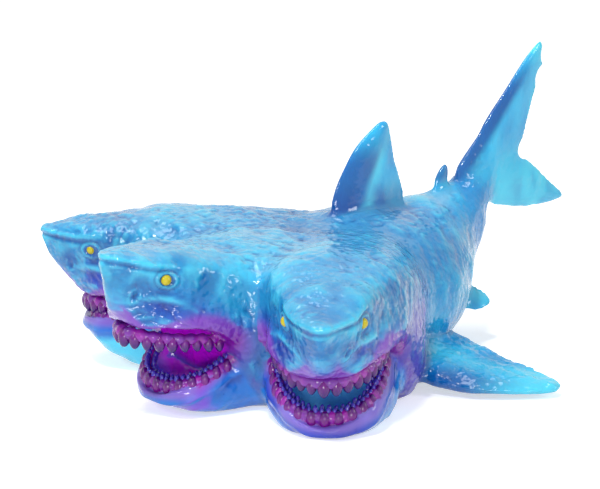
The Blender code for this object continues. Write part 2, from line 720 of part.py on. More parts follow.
def build():
    clear_scene()
    shown = new_collection("shark_figurine")
    forms = new_collection("joined_forms")
    blue = vinyl("clear_blue_vinyl", BLUE)
    magenta = vinyl("magenta_gum", MAGENTA)
    plum = vinyl("plum_tooth", PLUM)
    yellow = vinyl("yellow_eye", YELLOW, roughness=0.3)

    body = trunk(blue, forms)
    joined, cut = [], []
    heads = (
        Head("middle_head", MIDDLE_REACH, MIDDLE_TURN, NECK_ROOT, MIDDLE_DROP, MIDDLE_LIFT,
             MIDDLE_RETREAT),
        Head("left_head", SIDE_REACH, FAN_ANGLE, 2 * NECK_ROOT, LEFT_DROP, LEFT_LIFT),
        Head("right_head", SIDE_REACH, -FAN_ANGLE, 3 * NECK_ROOT, RIGHT_DROP,
             retreat=RIGHT_RETREAT),
    )
    for head in heads:
        joined.append(upper_head(head, blue, forms))
        joined.append(lower_jaw(head, blue, forms))
        joined.append(gum(head, "upper_gum", head.upper, upper_arch(13), magenta, forms))
        joined.append(gum(head, "lower_gum", head.lower, lower_arch(13), magenta, forms))
        joined.append(teeth(head, "upper_teeth", head.upper, upper_arch(31), -1, plum, forms))
        joined.append(teeth(head, "lower_teeth", head.lower, lower_arch(31), 1, plum, forms))
        joined.extend(eyes(head, yellow, blue, forms))
        cut.append(nostril_cutters(head, blue, forms))
    joined.extend(dorsal_fins(blue, forms))
    joined.extend(pectoral_fins(blue, forms))
    joined.extend(pelvic_fins(blue, forms))
    joined.extend(tail_fin(blue, forms))
    add_triangulation(body)
    for other in joined + cut:
        add_triangulation(other)
    for other in joined:
        add_boolean(body, other, "UNION")
    for other in cut:
        add_boolean(body, other, "DIFFERENCE")
    settle(body, "shark_figurine", forms, shown)


build()
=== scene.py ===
"""Looks of the three-headed shark figurine, cast in one piece of clear blue vinyl.

The skin is one closed mesh that stands for the casting: skulls, jaws, gums, trunk and fins are
lofted from sections, fused, blended where they meet, then wrinkled and painted. Teeth and eyes
are meshes of their own. Lengths are in millimetres until a mesh is made.
"""

import math
from collections import namedtuple

import bmesh
import bpy
import numpy as np
from mathutils import Matrix, Vector
from mathutils.bvhtree import BVHTree
from mathutils.kdtree import KDTree


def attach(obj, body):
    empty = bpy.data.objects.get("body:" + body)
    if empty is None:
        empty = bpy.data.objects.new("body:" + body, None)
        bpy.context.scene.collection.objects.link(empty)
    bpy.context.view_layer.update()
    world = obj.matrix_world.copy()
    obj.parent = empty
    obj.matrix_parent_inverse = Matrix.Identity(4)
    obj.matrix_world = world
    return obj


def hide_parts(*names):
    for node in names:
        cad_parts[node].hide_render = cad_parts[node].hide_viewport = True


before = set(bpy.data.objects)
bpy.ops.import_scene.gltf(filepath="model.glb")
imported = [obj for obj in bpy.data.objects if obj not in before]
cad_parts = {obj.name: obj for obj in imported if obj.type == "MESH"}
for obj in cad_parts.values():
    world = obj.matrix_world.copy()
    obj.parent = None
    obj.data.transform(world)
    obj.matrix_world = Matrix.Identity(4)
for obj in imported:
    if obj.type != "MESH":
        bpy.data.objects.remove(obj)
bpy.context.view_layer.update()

MM = 0.001
HUB_Y = -0.20

# Camera, fitted to the photograph
CAMERA_AZIMUTH = math.radians(47)
CAMERA_HEIGHT = math.radians(17.5)
CAMERA_DISTANCE = 1000.0
CAMERA_LENS = 168.0
AIM_RIGHT = -15.714
AIM_UP = 40.786

# Heads
MOUTH_LENGTH = 46.0
CHEEK_HALF_WIDTH = 24.5
NECK_HALF_WIDTH = 30.0
CROWN_HEIGHT = 55.5
LIP_HEIGHT = 22.0
JAW_LENGTH = 31.0
JAW_START = MOUTH_LENGTH - JAW_LENGTH
JAW_HALF_WIDTH = 21.5
JAW_FRONT_HEIGHT = 12.5
JAW_CORNER_HEIGHT = 23.5
EYE_SETBACK = 19.0
EYE_HEIGHT = 43.5
NOSTRIL_SETBACK = 11.0
NOSTRIL_HEIGHT = 36.5
TOOTH_COUNT = 17
EYE_RADIUS = 1.85
GUM_RADIUS = 2.1
LOWER_ARCH_FRONT = JAW_START + 0.12 * JAW_LENGTH
LOWER_ARCH_BACK = JAW_START + 0.93 * JAW_LENGTH
LOWER_ARCH_HALF_WIDTH = 0.84 * JAW_HALF_WIDTH
LOWER_ARCH_SQUARENESS = 2.3
UPPER_ARCH_SQUARENESS = 1.75

# Mesh making
CAGE_SUBDIVISIONS = 3
VOXEL = 0.55
SKIN_TRIANGLES = 192000

# Paint, as the colours on the finished vinyl
CYAN = (10, 150, 210)
BRIGHT_CYAN = (30, 176, 230)
AQUA = (64, 198, 244)
PALE = (120, 222, 244)
OCEAN = (0, 128, 190)
AZURE = (0, 134, 204)
STREAK_BLUE = (0, 110, 190)
DEEP = (0, 76, 156)
SKY = (60, 136, 236)
# Partly painted light: a blue lighter than a mouth's own, for the glow through the clear jaw into
# the shaded mouth
FLOOR_BLUE = (130, 200, 255)
ULTRAMARINE = (40, 40, 184)
INDIGO = (30, 44, 176)
LAVENDER = (150, 172, 212)
ROSE_GREY = (196, 190, 216)
VIOLET = (98, 58, 188)
ORCHID = (152, 60, 184)
THROAT = (204, 10, 226)
MAGENTA = (210, 4, 180)
PURPLE = (124, 16, 156)
PLUM = (40, 2, 104)
TOOTH_ROOT = (118, 6, 132)
KNOB_BLUE = (60, 40, 176)
EYE_YELLOW = (196, 180, 6)

# Where a tooth starts on the way from TOOTH_ROOT at 0 through PLUM at 0.9 to KNOB_BLUE
LOWER_TINT = 0.10
UPPER_TINT = 0.35
KNOB_TINT = 1.5

# Shares of red, green and blue that painted shade takes from a hollow, and of red that bluish paint
# loses
SHADE_LOSS = np.array([1.0, 0.75, 0.45])
RED_LOSS = 0.50

# Each head's own paint: shares of the pale muzzle, the painted shade on its flank, the violet neck,
# dark jaw rim, magenta mouth floor and pale chin, and the colour of its palate
HeadPaint = namedtuple("HeadPaint", "muzzle flank neck rim throat chin palate")
HEAD_PAINT = {
    "middle": HeadPaint(0.10, 0.45, 0.0, 0.35, 0.95, 0.0, THROAT),
    "left": HeadPaint(0.40, 0.60, 0.75, 0.95, 0.10, 0.0, FLOOR_BLUE),
    "right": HeadPaint(0.10, 0.05, 0.0, 0.35, 0.10, 0.85, THROAT),
}

# Lamps: name, place in metres ahead, to the right and up as the camera sees it, size and watts
LAMPS = (
    ("overhead", (-0.1, -0.25, 0.9), (0.6, 0.4), 3.5),
    ("front_left", (0.7, -0.75, 0.75), (0.2, 0.25), 2.8),
    ("right", (0.25, 0.9, 0.5), (0.2, 0.4), 2.1),
    ("window", (0.5, -0.15, 0.95), (0.10, 0.10), 3.6),
    ("front", (1.1, -0.1, 0.13), (0.4, 0.2), 3.7),
)
WORLD_STRENGTH = 0.26
FLOOR_GLOW = 0.55


def smooth_step(low, high, value):
    share = np.clip((np.asarray(value, float) - low) / (high - low), 0.0, 1.0)
    return share * share * (3 - 2 * share)


def bell(value, width):
    return np.exp(-(np.asarray(value) / width) ** 2)


LATTICE = np.random.default_rng(7).random((32, 32, 32))


def cloud(points, size, shift=0.0):
    """Smooth noise from 0 to 1 at each point, with patches of the given size."""
    place = points / size + shift
    base = np.floor(place).astype(int)
    part = place - base
    part = part * part * (3 - 2 * part)
    total = np.zeros(len(points))
    for corner in range(8):
        step = [(corner >> k) & 1 for k in range(3)]
        share = np.ones(len(points))
        for k in range(3):
            share = share * (part[:, k] if step[k] else 1 - part[:, k])
        x, y, z = ((base[:, k] + step[k]) % 32 for k in range(3))
        total += share * LATTICE[x, y, z]
    return total


class Head:
    """One head's own frame: forward is -Y, left is +X, and the hub is the origin."""

    def __init__(self, name, reach, yaw, root, drop, lift=0.0, retreat=0.0):
        self.name = name
        self.reach = reach
        self.yaw = math.radians(yaw)
        self.root = root
        self.drop = math.radians(drop)
        self.lift = math.radians(lift)
        self.retreat = retreat
        self.hinge = np.array([0.0, MOUTH_LENGTH + 3.0 - reach, LIP_HEIGHT + 3.0])

    def bend(self, setback, angle):
        """The turn about the hinge at a setback: full in the mouth, none in the neck."""
        return angle * (1 - smooth_step(MOUTH_LENGTH * 0.80, MOUTH_LENGTH * 1.45, setback))

    def turned(self, setback, across, height, angle):
        bend = self.bend(setback, angle)
        y = setback - self.reach - self.hinge[1]
        z = height - self.hinge[2]
        y, z = (self.hinge[1] + math.cos(bend) * y - math.sin(bend) * z,
                self.hinge[2] + math.sin(bend) * y + math.cos(bend) * z)
        return (math.cos(self.yaw) * across - math.sin(self.yaw) * y,
                HUB_Y + math.sin(self.yaw) * across + math.cos(self.yaw) * y, z)

    def upper(self, setback, across, height):
        """A point of the upper head, in the part's frame."""
        return self.turned(setback, across, height, -self.lift)

    def lower(self, setback, across, height):
        """A point of the lower jaw, in the part's frame."""
        return self.turned(setback + self.retreat, across, height, self.drop)

    def stations(self, points, angle, retreat=0.0):
        """Setback, across and height of many points, which undoes turned()."""
        x, y, z = points[:, 0], points[:, 1] - HUB_Y, points[:, 2]
        across = math.cos(self.yaw) * x + math.sin(self.yaw) * y
        along = -math.sin(self.yaw) * x + math.cos(self.yaw) * y
        dy, dz = along - self.hinge[1], z - self.hinge[2]
        setback, height = along + self.reach, z
        for _ in range(5):
            bend = self.bend(setback, angle)
            setback = self.reach + self.hinge[1] + np.cos(bend) * dy + np.sin(bend) * dz
            height = self.hinge[2] - np.sin(bend) * dy + np.cos(bend) * dz
        return setback - retreat, across, height

    def upper_stations(self, points):
        return self.stations(points, -self.lift)

    def lower_stations(self, points):
        return self.stations(points, self.drop, self.retreat)


HEADS = (
    Head("middle", 118.0, 1.5, 3.5, 9.0, lift=14.0, retreat=11.0),
    Head("left", 107.0, 43.0, 7.0, 13.0, lift=-5.5),
    Head("right", 107.0, -43.0, 10.5, -10.0, retreat=2.6),
)

# Half sections of the upper head from the crown down to the palate. Each row has the setback
# as a share of the mouth's length, then (share of the cheek's half width, share of the way
# from the lip's edge up to the crown) for the crown, its shoulder, the brow ridge, the eye's
# level, the cheek, the lip's bulge, the lip's edge, the gum and the palate.
SNOUT_SECTIONS = (
    (0.00, (0, 0.785), (0.04, 0.782), (0.06, 0.772), (0.06, 0.757), (0.05, 0.74),
     (0.04, 0.725), (0.03, 0.715), (0.02, 0.71), (0, 0.71)),
    (0.05, (0, 0.815), (0.11, 0.802), (0.175, 0.765), (0.145, 0.70), (0.10, 0.65),
     (0.07, 0.61), (0.05, 0.585), (0.025, 0.570), (0, 0.565)),
    (0.12, (0, 0.840), (0.21, 0.824), (0.305, 0.767), (0.245, 0.64), (0.18, 0.54),
     (0.13, 0.46), (0.09, 0.41), (0.045, 0.385), (0, 0.38)),
    (0.20, (0, 0.860), (0.29, 0.840), (0.415, 0.762), (0.335, 0.58), (0.26, 0.42),
     (0.20, 0.34), (0.14, 0.28), (0.07, 0.250), (0, 0.245)),
    (0.285, (0, 0.876), (0.36, 0.855), (0.505, 0.758), (0.425, 0.56), (0.355, 0.36),
     (0.285, 0.23), (0.19, 0.165), (0.10, 0.140), (0, 0.135)),
    (0.36, (0, 0.890), (0.39, 0.868), (0.550, 0.763), (0.48, 0.57), (0.47, 0.36),
     (0.46, 0.20), (0.37, 0.100), (0.24, 0.115), (0, 0.16)),
    (0.455, (0, 0.908), (0.42, 0.884), (0.595, 0.777), (0.54, 0.58), (0.59, 0.36),
     (0.64, 0.21), (0.58, 0.115), (0.43, 0.15), (0, 0.25)),
    (0.65, (0, 0.950), (0.49, 0.920), (0.715, 0.800), (0.72, 0.58), (0.78, 0.40),
     (0.85, 0.28), (0.80, 0.19), (0.62, 0.23), (0, 0.30)),
    (0.84, (0, 0.980), (0.55, 0.945), (0.82, 0.820), (0.88, 0.58), (0.92, 0.40),
     (0.94, 0.27), (0.88, 0.17), (0.70, 0.21), (0, 0.28)),
    (1.00, (0, 0.995), (0.62, 0.960), (0.92, 0.825), (1.01, 0.58), (1.05, 0.36),
     (1.02, 0.18), (0.94, 0.08), (0.72, 0.12), (0, 0.20)),
)

# The same for the neck, as shares of the way from the mouth's corner to the hub, of the neck's
# half width, and of the crown's height above the ground.
NECK_SECTIONS = (
    (0.16, (0, 1.000), (0.56, 0.970), (0.82, 0.88), (0.94, 0.72), (0.98, 0.54),
     (1.00, 0.34), (0.96, 0.05), (0.54, -0.08), (0, -0.09)),
    (0.40, (0, 0.975), (0.60, 0.940), (0.88, 0.84), (1.00, 0.68), (1.04, 0.48),
     (1.04, 0.22), (0.97, 0.00), (0.54, -0.09), (0, -0.10)),
    (0.70, (0, 0.940), (0.60, 0.900), (0.88, 0.80), (1.00, 0.64), (1.02, 0.46),
     (0.98, 0.26), (0.84, 0.08), (0.50, -0.02), (0, -0.03)),
    (1.00, (0, 0.880), (0.50, 0.850), (0.74, 0.76), (0.84, 0.62), (0.86, 0.46),
     (0.82, 0.28), (0.70, 0.14), (0.42, 0.06), (0, 0.05)),
)

# Half sections of the lower jaw from the mouth's floor round to the underside. Each row has
# the share of the way from the chin to the corner, then (share of the jaw's half width, share
# of the rim's height there) for the floor, its edge, the inner rim, the outer rim, the side,
# the lower side and the underside.
JAW_SECTIONS = (
    (-0.03, (0, 0.90), (0.10, 0.90), (0.18, 0.94), (0.21, 0.86), (0.20, 0.74), (0.14, 0.66),
     (0, 0.64)),
    (0.05, (0, 0.84), (0.26, 0.88), (0.42, 1.03), (0.50, 0.97), (0.49, 0.74), (0.38, 0.55),
     (0, 0.48)),
    (0.18, (0, 0.60), (0.38, 0.68), (0.56, 1.04), (0.70, 1.00), (0.70, 0.66), (0.54, 0.35),
     (0, 0.27)),
    (0.38, (0, 0.50), (0.50, 0.62), (0.68, 1.04), (0.85, 1.00), (0.87, 0.53), (0.70, 0.09),
     (0, -0.03)),
    (0.66, (0, 0.47), (0.60, 0.60), (0.79, 1.04), (0.95, 1.00), (1.00, 0.46), (0.85, -0.04),
     (0, -0.14)),
    (1.00, (0, 0.50), (0.66, 0.64), (0.86, 1.00), (1.01, 0.96), (1.12, 0.42), (1.00, -0.05),
     (0, -0.14)),
    (1.45, (0, 0.60), (0.60, 0.70), (0.82, 0.88), (0.98, 0.80), (1.18, 0.38), (1.03, -0.04),
     (0, -0.12)),
)

# The trunk's sections: the share of its length behind the hub, its middle's height as a share
# of the stalk's, the shares of half width and half height, and its lean in degrees.
TRUNK_LENGTH = 78.0
TRUNK_HALF_WIDTH = 41.0
TRUNK_HEIGHT = 57.0
STALK_HEIGHT = 59.0
TAIL_SWAY = 0.8
TRUNK_SECTIONS = (
    (-0.49, 0.45, 0.63, 0.80, 0),
    (-0.19, 0.445, 0.93, 0.98, 0),
    (0.13, 0.45, 1.00, 1.02, 0),
    (0.36, 0.430, 0.87, 0.90, 4),
    (0.54, 0.55, 0.54, 0.80, 16),
    (0.67, 0.68, 0.33, 0.57, 30),
    (0.77, 0.81, 0.21, 0.37, 42),
    (0.86, 0.92, 0.14, 0.28, 46),
    (0.95, 1.03, 0.08, 0.23, 48),
)


def loft(rings, closed):
    """Vertices and quads between rings of equal length, capped at both ends."""
    count = len(rings[0])
    vertices = [tuple(point) for ring in rings for point in ring]
    faces = []
    for i in range(len(rings) - 1):
        for j in range(count if closed else count - 1):
            k = (j + 1) % count
            faces.append((i * count + j, i * count + k, (i + 1) * count + k, (i + 1) * count + j))
    faces.append(tuple(reversed(range(count))))
    faces.append(tuple(range(len(vertices) - count, len(vertices))))
    return vertices, faces


class Form:
    """One closed form that goes into the casting, smooth and in millimetres."""

    def __init__(self, kind, head, vertices, faces, mirrored=False, levels=CAGE_SUBDIVISIONS):
        self.kind = kind
        self.head = head
        mesh = bpy.data.meshes.new(kind)
        mesh.from_pydata(vertices, [], faces)
        if mirrored:
            work = bmesh.new()
            work.from_mesh(mesh)
            bmesh.ops.mirror(work, geom=work.verts[:] + work.edges[:] + work.faces[:],
                             axis="X", merge_dist=1e-4)
            work.to_mesh(mesh)
            work.free()
        work = bmesh.new()
        work.from_mesh(mesh)
        middle = [f for f in work.faces if all(abs(v.co.x) < 1e-4 for v in f.verts)]
        if mirrored:
            bmesh.ops.delete(work, geom=middle, context="FACES_ONLY")
        bmesh.ops.recalc_face_normals(work, faces=work.faces)
        work.to_mesh(mesh)
        work.free()
        obj = bpy.data.objects.new(kind, mesh)
        bpy.context.scene.collection.objects.link(obj)
        if levels:
            modifier = obj.modifiers.new("smooth", "SUBSURF")
            modifier.levels = levels
            modifier.render_levels = levels
        bpy.context.view_layer.update()
        smooth = bpy.data.meshes.new_from_object(
            obj.evaluated_get(bpy.context.evaluated_depsgraph_get()))
        self.points = read_points(smooth)
        self.faces = [tuple(p.vertices) for p in smooth.polygons]
        bpy.data.objects.remove(obj)
        bpy.data.meshes.remove(mesh)
        bpy.data.meshes.remove(smooth)

    def place(self, rule):
        """Moves every point through rule(x, y, z)."""
        self.points = np.array([rule(*p) for p in self.points])
        return self


def read_points(mesh):
    flat = np.empty(len(mesh.vertices) * 3)
    mesh.vertices.foreach_get("co", flat)
    return flat.reshape(-1, 3)


def write_points(mesh, points):
    mesh.vertices.foreach_set("co", points.ravel())
    mesh.update()


def skull(head):
    """Skull, snout, upper lip, palate and neck, in the part's frame."""
    neck = head.reach - MOUTH_LENGTH + head.root
    rise = CROWN_HEIGHT - LIP_HEIGHT
    rings = [[(v * CHEEK_HALF_WIDTH, share * MOUTH_LENGTH, LIP_HEIGHT + z * rise)
              for v, z in profile] for share, *profile in SNOUT_SECTIONS]
    rings += [[(v * NECK_HALF_WIDTH, MOUTH_LENGTH + share * neck, z * CROWN_HEIGHT)
               for v, z in profile] for share, *profile in NECK_SECTIONS]
    form = Form("skull", head, *loft(rings, closed=False), mirrored=True)
    return form.place(lambda a, s, h: head.upper(s, a, h))


def rim_height(share):
    """The lower gum's height, which climbs from the chin to the mouth's corner."""
    rise = JAW_CORNER_HEIGHT - JAW_FRONT_HEIGHT
    return JAW_FRONT_HEIGHT + rise * np.clip(share, 0.0, 1.0) ** 1.15


def jaw(head):
    rings = [[(v * JAW_HALF_WIDTH, JAW_START + share * JAW_LENGTH, z * rim_height(share))
              for v, z in profile] for share, *profile in JAW_SECTIONS]
    form = Form("jaw", head, *loft(rings, closed=False), mirrored=True)
    return form.place(lambda a, s, h: head.lower(s, a, h))


def arch(front, back, half_width, steps, squareness):
    """(setback, across) along a dental arch from the right corner round the front."""
    points = []
    for turn in np.linspace(-math.pi / 2, math.pi / 2, steps):
        along = abs(math.cos(turn)) ** (2 / squareness)
        across = math.copysign(abs(math.sin(turn)) ** (2 / squareness), turn)
        points.append((back - (back - front) * along, half_width * across))
    return points


def upper_arch(head, steps, inset=0.0):
    front, back = 0.36 * MOUTH_LENGTH + inset, 0.95 * MOUTH_LENGTH
    return np.array([
        head.upper(s, v, LIP_HEIGHT + 1.4 + 2.5 * float(smooth_step(front, back, s)))
        for s, v in arch(front, back, 0.74 * CHEEK_HALF_WIDTH - inset, steps,
                         UPPER_ARCH_SQUARENESS)])


def lower_arch(head, steps, inset=0.0, rise=0.0):
    return np.array([
        head.lower(s, v, rim_height((s - JAW_START) / JAW_LENGTH) - 0.4 + rise)
        for s, v in arch(LOWER_ARCH_FRONT + inset, LOWER_ARCH_BACK,
                         LOWER_ARCH_HALF_WIDTH - inset, steps, LOWER_ARCH_SQUARENESS)])


def along(path, count):
    """Points at equal steps along a path, and their share of the way from -1 to 1."""
    steps = np.linalg.norm(np.diff(path, axis=0), axis=1)
    reached = np.concatenate([[0.0], np.cumsum(steps)])
    shares = (np.arange(count) + 0.5) / count
    points = np.array([[np.interp(s * reached[-1], reached, path[:, k]) for k in range(3)]
                       for s in shares])
    return points, 2 * shares - 1


def ball(radius, centre, rows):
    """Vertices and faces of a ball, in millimetres."""
    mesh = bmesh.new()
    bmesh.ops.create_uvsphere(mesh, u_segments=2 * rows, v_segments=rows, radius=1.0)
    mesh.verts.index_update()
    points = [tuple(centre[k] + v.co[k] * radius for k in range(3)) for v in mesh.verts]
    faces = [tuple(v.index for v in f.verts) for f in mesh.faces]
    mesh.free()
    return points, faces


def gum(head, name, path, radius):
    """A lumpy strand along a dental arch, with a swelling at each tooth."""
    rings = []
    count = 60
    points, shares = along(path, count)
    for i, (centre, share) in enumerate(zip(points, shares)):
        ahead = points[min(i + 1, count - 1)] - points[max(i - 1, 0)]
        ahead = Vector(ahead).normalized()
        side = ahead.cross(Vector((0, 0, 1))).normalized()
        up = side.cross(ahead)
        swell = 1 + 0.20 * math.cos(math.tau * TOOTH_COUNT * (i + 0.5) / count)
        size = radius * swell * (1 - 0.4 * abs(share) ** 4)
        rings.append([Vector(centre) + side * size * math.cos(t) + up * size * math.sin(t)
                      for t in np.linspace(0, math.tau, 12, endpoint=False)])
    return Form(name, head, *loft(rings, closed=True), levels=0)


def trunk():
    rings = []
    for share, rise, wide, high, lean in TRUNK_SECTIONS:
        turn = Matrix.Rotation(math.radians(lean), 3, "X")
        sway = TAIL_SWAY * max(0.0, share) ** 2
        centre = Vector((sway, HUB_Y + share * TRUNK_LENGTH, rise * STALK_HEIGHT))
        ring = []
        for angle in np.linspace(0, math.tau, 12, endpoint=False) + math.tau / 24:
            ring.append(centre + turn @ Vector((
                math.sin(angle) * wide * TRUNK_HALF_WIDTH, 0,
                math.cos(angle) * high * TRUNK_HEIGHT / 2)))
        rings.append(ring)
    return Form("trunk", None, *loft(rings, closed=True))


def curve_point(points, share):
    """A point on the quadratic curve through a start, a handle and an end."""
    start, handle, end = (Vector(p) for p in points)
    return start * (1 - share) ** 2 + handle * 2 * share * (1 - share) + end * share ** 2


def fin(name, leading, trailing, flat_normal, thickness, stations=7):
    """A fin between two curved edges, thickest near a third of its chord."""
    normal = Vector(flat_normal).normalized()
    shape = ((0.0, 0.0), (0.05, 0.50), (0.16, 0.85), (0.34, 1.0), (0.58, 0.80), (0.82, 0.42),
             (1.0, 0.10))
    rings = []
    for share in np.linspace(0, 1, stations):
        front = curve_point(leading, share)
        back = curve_point(trailing, share)
        half = 0.5 * thickness * (1 - 0.70 * share)
        one_side = [front.lerp(back, c) + normal * half * t for c, t in shape]
        other_side = [front.lerp(back, c) - normal * half * t for c, t in shape[1:]]
        rings.append(one_side + list(reversed(other_side)))
    form = Form(name, None, *loft(rings, closed=True), levels=2)
    form.points[:, 1] += HUB_Y
    return form


def fins():
    made = [
        fin("dorsal", ((0.4, -10.1, 41.6), (0.4, -8.2, 75.4), (0.4, 19.2, 85.1)),
            ((0.4, 35.4, 41.6), (0.4, 24.9, 63.5), (0.4, 21.1, 82.2)), (1, 0, 0), 8.5),
        fin("second_dorsal", ((0.7, 39.8, 47), (0.7, 42.8, 60.0), (0.7, 48.9, 63.6)),
            ((0.7, 54.2, 48), (0.7, 51.3, 58.5), (0.7, 50.1, 63.2)), (1, 0, 0), 4.0),
        fin("tail", ((0.8, 50, 55), (0.8, 68, 77), (1.2, 98.6, 105.6)),
            ((0.8, 85.8, 47), (0.8, 91.0, 73), (1.2, 100.4, 97.0)), (1, 0, 0), 7.5,
            stations=9),
        fin("tail_tip", ((1.1, 91, 96), (1.1, 97, 98), (1.2, 101.2, 95.0)),
            ((1.1, 92, 86), (1.1, 96, 90), (1.2, 101.0, 92.6)), (1, 0, 0), 3.2),
        fin("tail_lower", ((0.7, 65, 47), (0.7, 87.5, 37.5), (0.4, 113.4, 40.4)),
            ((0.7, 72, 75), (0.7, 92.5, 59), (0.4, 112.8, 42.6)), (1, 0, 0), 7.5),
    ]
    for side in (1, -1):
        made.append(fin(
            "pectoral", ((side * 26.2, -12, 7.5), (side * 65.2, -8.2, 2.0), (side * 82.4, 23, 2.6)),
            ((side * 26.2, 26, 12.5), (side * 53.2, 24.1, 9.0), (side * 79.6, 29.5, 3.4)),
            (side * 0.09, -0.13, 1), 9.0))
        made.append(fin(
            "pelvic", ((side * 12.4, 33, 13.5), (side * 25.3, 43, 12.5), (side * 22.6, 52, 15.5)),
            ((side * 4.7, 48, 26.5), (side * 13.0, 51.4, 23.5), (side * 21.0, 53.4, 17.5)),
            (side * 0.10, -0.65, 1), 4.5))
    return made


def all_forms():
    forms = [trunk()]
    for head in HEADS:
        forms.append(skull(head))
        forms.append(jaw(head))
        forms.append(gum(head, "upper_gum", upper_arch(head, 41), GUM_RADIUS))
        forms.append(gum(head, "lower_gum", lower_arch(head, 41), GUM_RADIUS))
    return forms + fins()


def shrunk(points):
    return points * MM


def joined(parts):
    """Vertices and faces of many (points, faces) pairs, and the number of each face's pair."""
    vertices, faces, owner = [], [], []
    for number, (points, polygons) in enumerate(parts):
        start = len(vertices)
        vertices.extend(map(tuple, points))
        faces.extend(tuple(start + i for i in polygon) for polygon in polygons)
        owner.extend([number] * len(polygons))
    return vertices, faces, owner


def new_object(name, parts):
    """An object made of (points, faces) pairs in millimetres."""
    vertices, faces, _ = joined([(shrunk(np.array(points)), polygons)
                                 for points, polygons in parts])
    mesh = bpy.data.meshes.new(name)
    mesh.from_pydata(vertices, [], faces)
    obj = bpy.data.objects.new(name, mesh)
    bpy.context.scene.collection.objects.link(obj)
    return obj


def fused(forms):
    """One closed mesh round all the forms."""
    obj = new_object("skin", [(form.points, form.faces) for form in forms])
    modifier = obj.modifiers.new("fuse", "REMESH")
    modifier.mode = "VOXEL"
    modifier.voxel_size = VOXEL * MM
    modifier.adaptivity = 0.0
    apply_modifiers(obj)
    return obj


def apply_modifiers(obj):
    bpy.context.view_layer.update()
    made = bpy.data.meshes.new_from_object(
        obj.evaluated_get(bpy.context.evaluated_depsgraph_get()))
    old = obj.data
    obj.modifiers.clear()
    obj.data = made
    bpy.data.meshes.remove(old)


def owners(forms, points):
    """Index of the form that each point lies on."""
    vertices, faces, owner = joined([(form.points, form.faces) for form in forms])
    tree = BVHTree.FromPolygons(vertices, faces)
    return np.array([owner[tree.find_nearest(p)[2]] for p in points])


def mesh_edges(mesh):
    flat = np.empty(len(mesh.edges) * 2, dtype=np.int64)
    mesh.edges.foreach_get("vertices", flat)
    return flat.reshape(-1, 2)


def relaxed(points, edges, weight, passes):
    """Points drawn to the middle of their neighbours, by weight, as many times as passes."""
    active = np.flatnonzero(weight > 0.01)
    number = -np.ones(len(points), dtype=np.int64)
    near = edges[(weight[edges] > 0.01).any(axis=1)]
    both = np.concatenate([near, near[:, ::-1]])
    both = both[weight[both[:, 0]] > 0.01]
    number[active] = np.arange(len(active))
    row = number[both[:, 0]]
    count = np.bincount(row, minlength=len(active))[:, None]
    share = 0.75 * weight[active][:, None]
    moved = points.copy()
    for _ in range(passes):
        mean = np.stack([np.bincount(row, moved[both[:, 1], k], len(active))
                         for k in range(3)], axis=1) / count
        moved[active] += share * (mean - moved[active])
    return moved


def seam_weight(points, seams, reach):
    """1 on a seam, and falling to 0 at its reach."""
    if not len(seams):
        return np.zeros(len(points))
    tree = KDTree(len(seams))
    for i, point in enumerate(seams):
        tree.insert(point, i)
    tree.balance()
    distance = np.array([tree.find(p)[2] for p in points])
    return 1 - smooth_step(0.25 * reach, reach, distance)


def labels(forms):
    """Each form's kind, and the number of its head, or -1 on the body."""
    return (np.array([form.kind for form in forms]),
            np.array([HEADS.index(form.head) if form.head else -1 for form in forms]))


def blended(forms, points, edges):
    """Points with the seams between forms drawn out into soft hollows."""
    kinds, heads = labels(forms)
    owner = owners(forms, points)
    pair = owner[edges]
    crossing = pair[:, 0] != pair[:, 1]
    a, b = pair[crossing].T
    middle = points[edges[crossing]].mean(axis=1)
    ends = kinds[a], kinds[b]

    def is_kind(*names):
        return np.isin(ends[0], names), np.isin(ends[1], names)

    skull_a, skull_b = is_kind("skull")
    jaw_a, jaw_b = is_kind("jaw")
    gum_a, gum_b = is_kind("upper_gum", "lower_gum")
    body_a, body_b = is_kind("skull", "trunk")
    behind = np.zeros(len(middle), dtype=bool)
    for number, head in enumerate(HEADS):
        setback = head.upper_stations(middle)[0]
        behind |= (heads[a] == number) & (setback > MOUTH_LENGTH + 4)
    same_head = heads[a] == heads[b]
    gums = gum_a | gum_b
    wide = body_a & body_b
    mouth = (jaw_a | jaw_b) & same_head & ~gums
    narrow = ~wide & ~gums & ~(mouth & ~behind)
    lips = mouth & ~behind
    moved = relaxed(points, edges, seam_weight(points, middle[wide], 11.0), 260)
    moved = relaxed(moved, edges, seam_weight(points, middle[narrow], 5.0), 70)
    moved = relaxed(moved, edges, seam_weight(points, middle[lips], 1.6), 6)
    moved = relaxed(moved, edges, seam_weight(points, middle[gums], 1.4), 5)
    return relaxed(moved, edges, np.full(len(points), 0.7), 3)


def part_masks(forms, points):
    """The kind of form and the number of the head that each point belongs to."""
    kinds, heads = labels(forms)
    owner = owners(forms, points)
    return kinds[owner], heads[owner]


def profile_line(column):
    """(setback, across, height) of one column of the snout's sections."""
    rise = CROWN_HEIGHT - LIP_HEIGHT
    rows = [(share * MOUTH_LENGTH, profile[column][0] * CHEEK_HALF_WIDTH,
             LIP_HEIGHT + profile[column][1] * rise) for share, *profile in SNOUT_SECTIONS]
    return np.array(rows)


BROW_LINE = profile_line(2)
LIP_LINE = profile_line(6)
BROW_AT_EYE = np.interp(EYE_SETBACK, BROW_LINE[:, 0], BROW_LINE[:, 1])


def above_lip(s, h):
    return h - np.interp(s, LIP_LINE[:, 0], LIP_LINE[:, 2])


def from_brow(s, side, h):
    """How far above the brow's ridge, and how far outside it."""
    return (h - np.interp(s, BROW_LINE[:, 0], BROW_LINE[:, 2]),
            side - np.interp(s, BROW_LINE[:, 0], BROW_LINE[:, 1]))


def eye_distance(s, h):
    return np.hypot((s - EYE_SETBACK) * 0.80, h - EYE_HEIGHT)


def under_eye_fold(s, side, h, width):
    return bell(h - 37.2 + 0.024 * (s - 20) ** 2, width) * bell(s - 20, 7) * (side > 7)


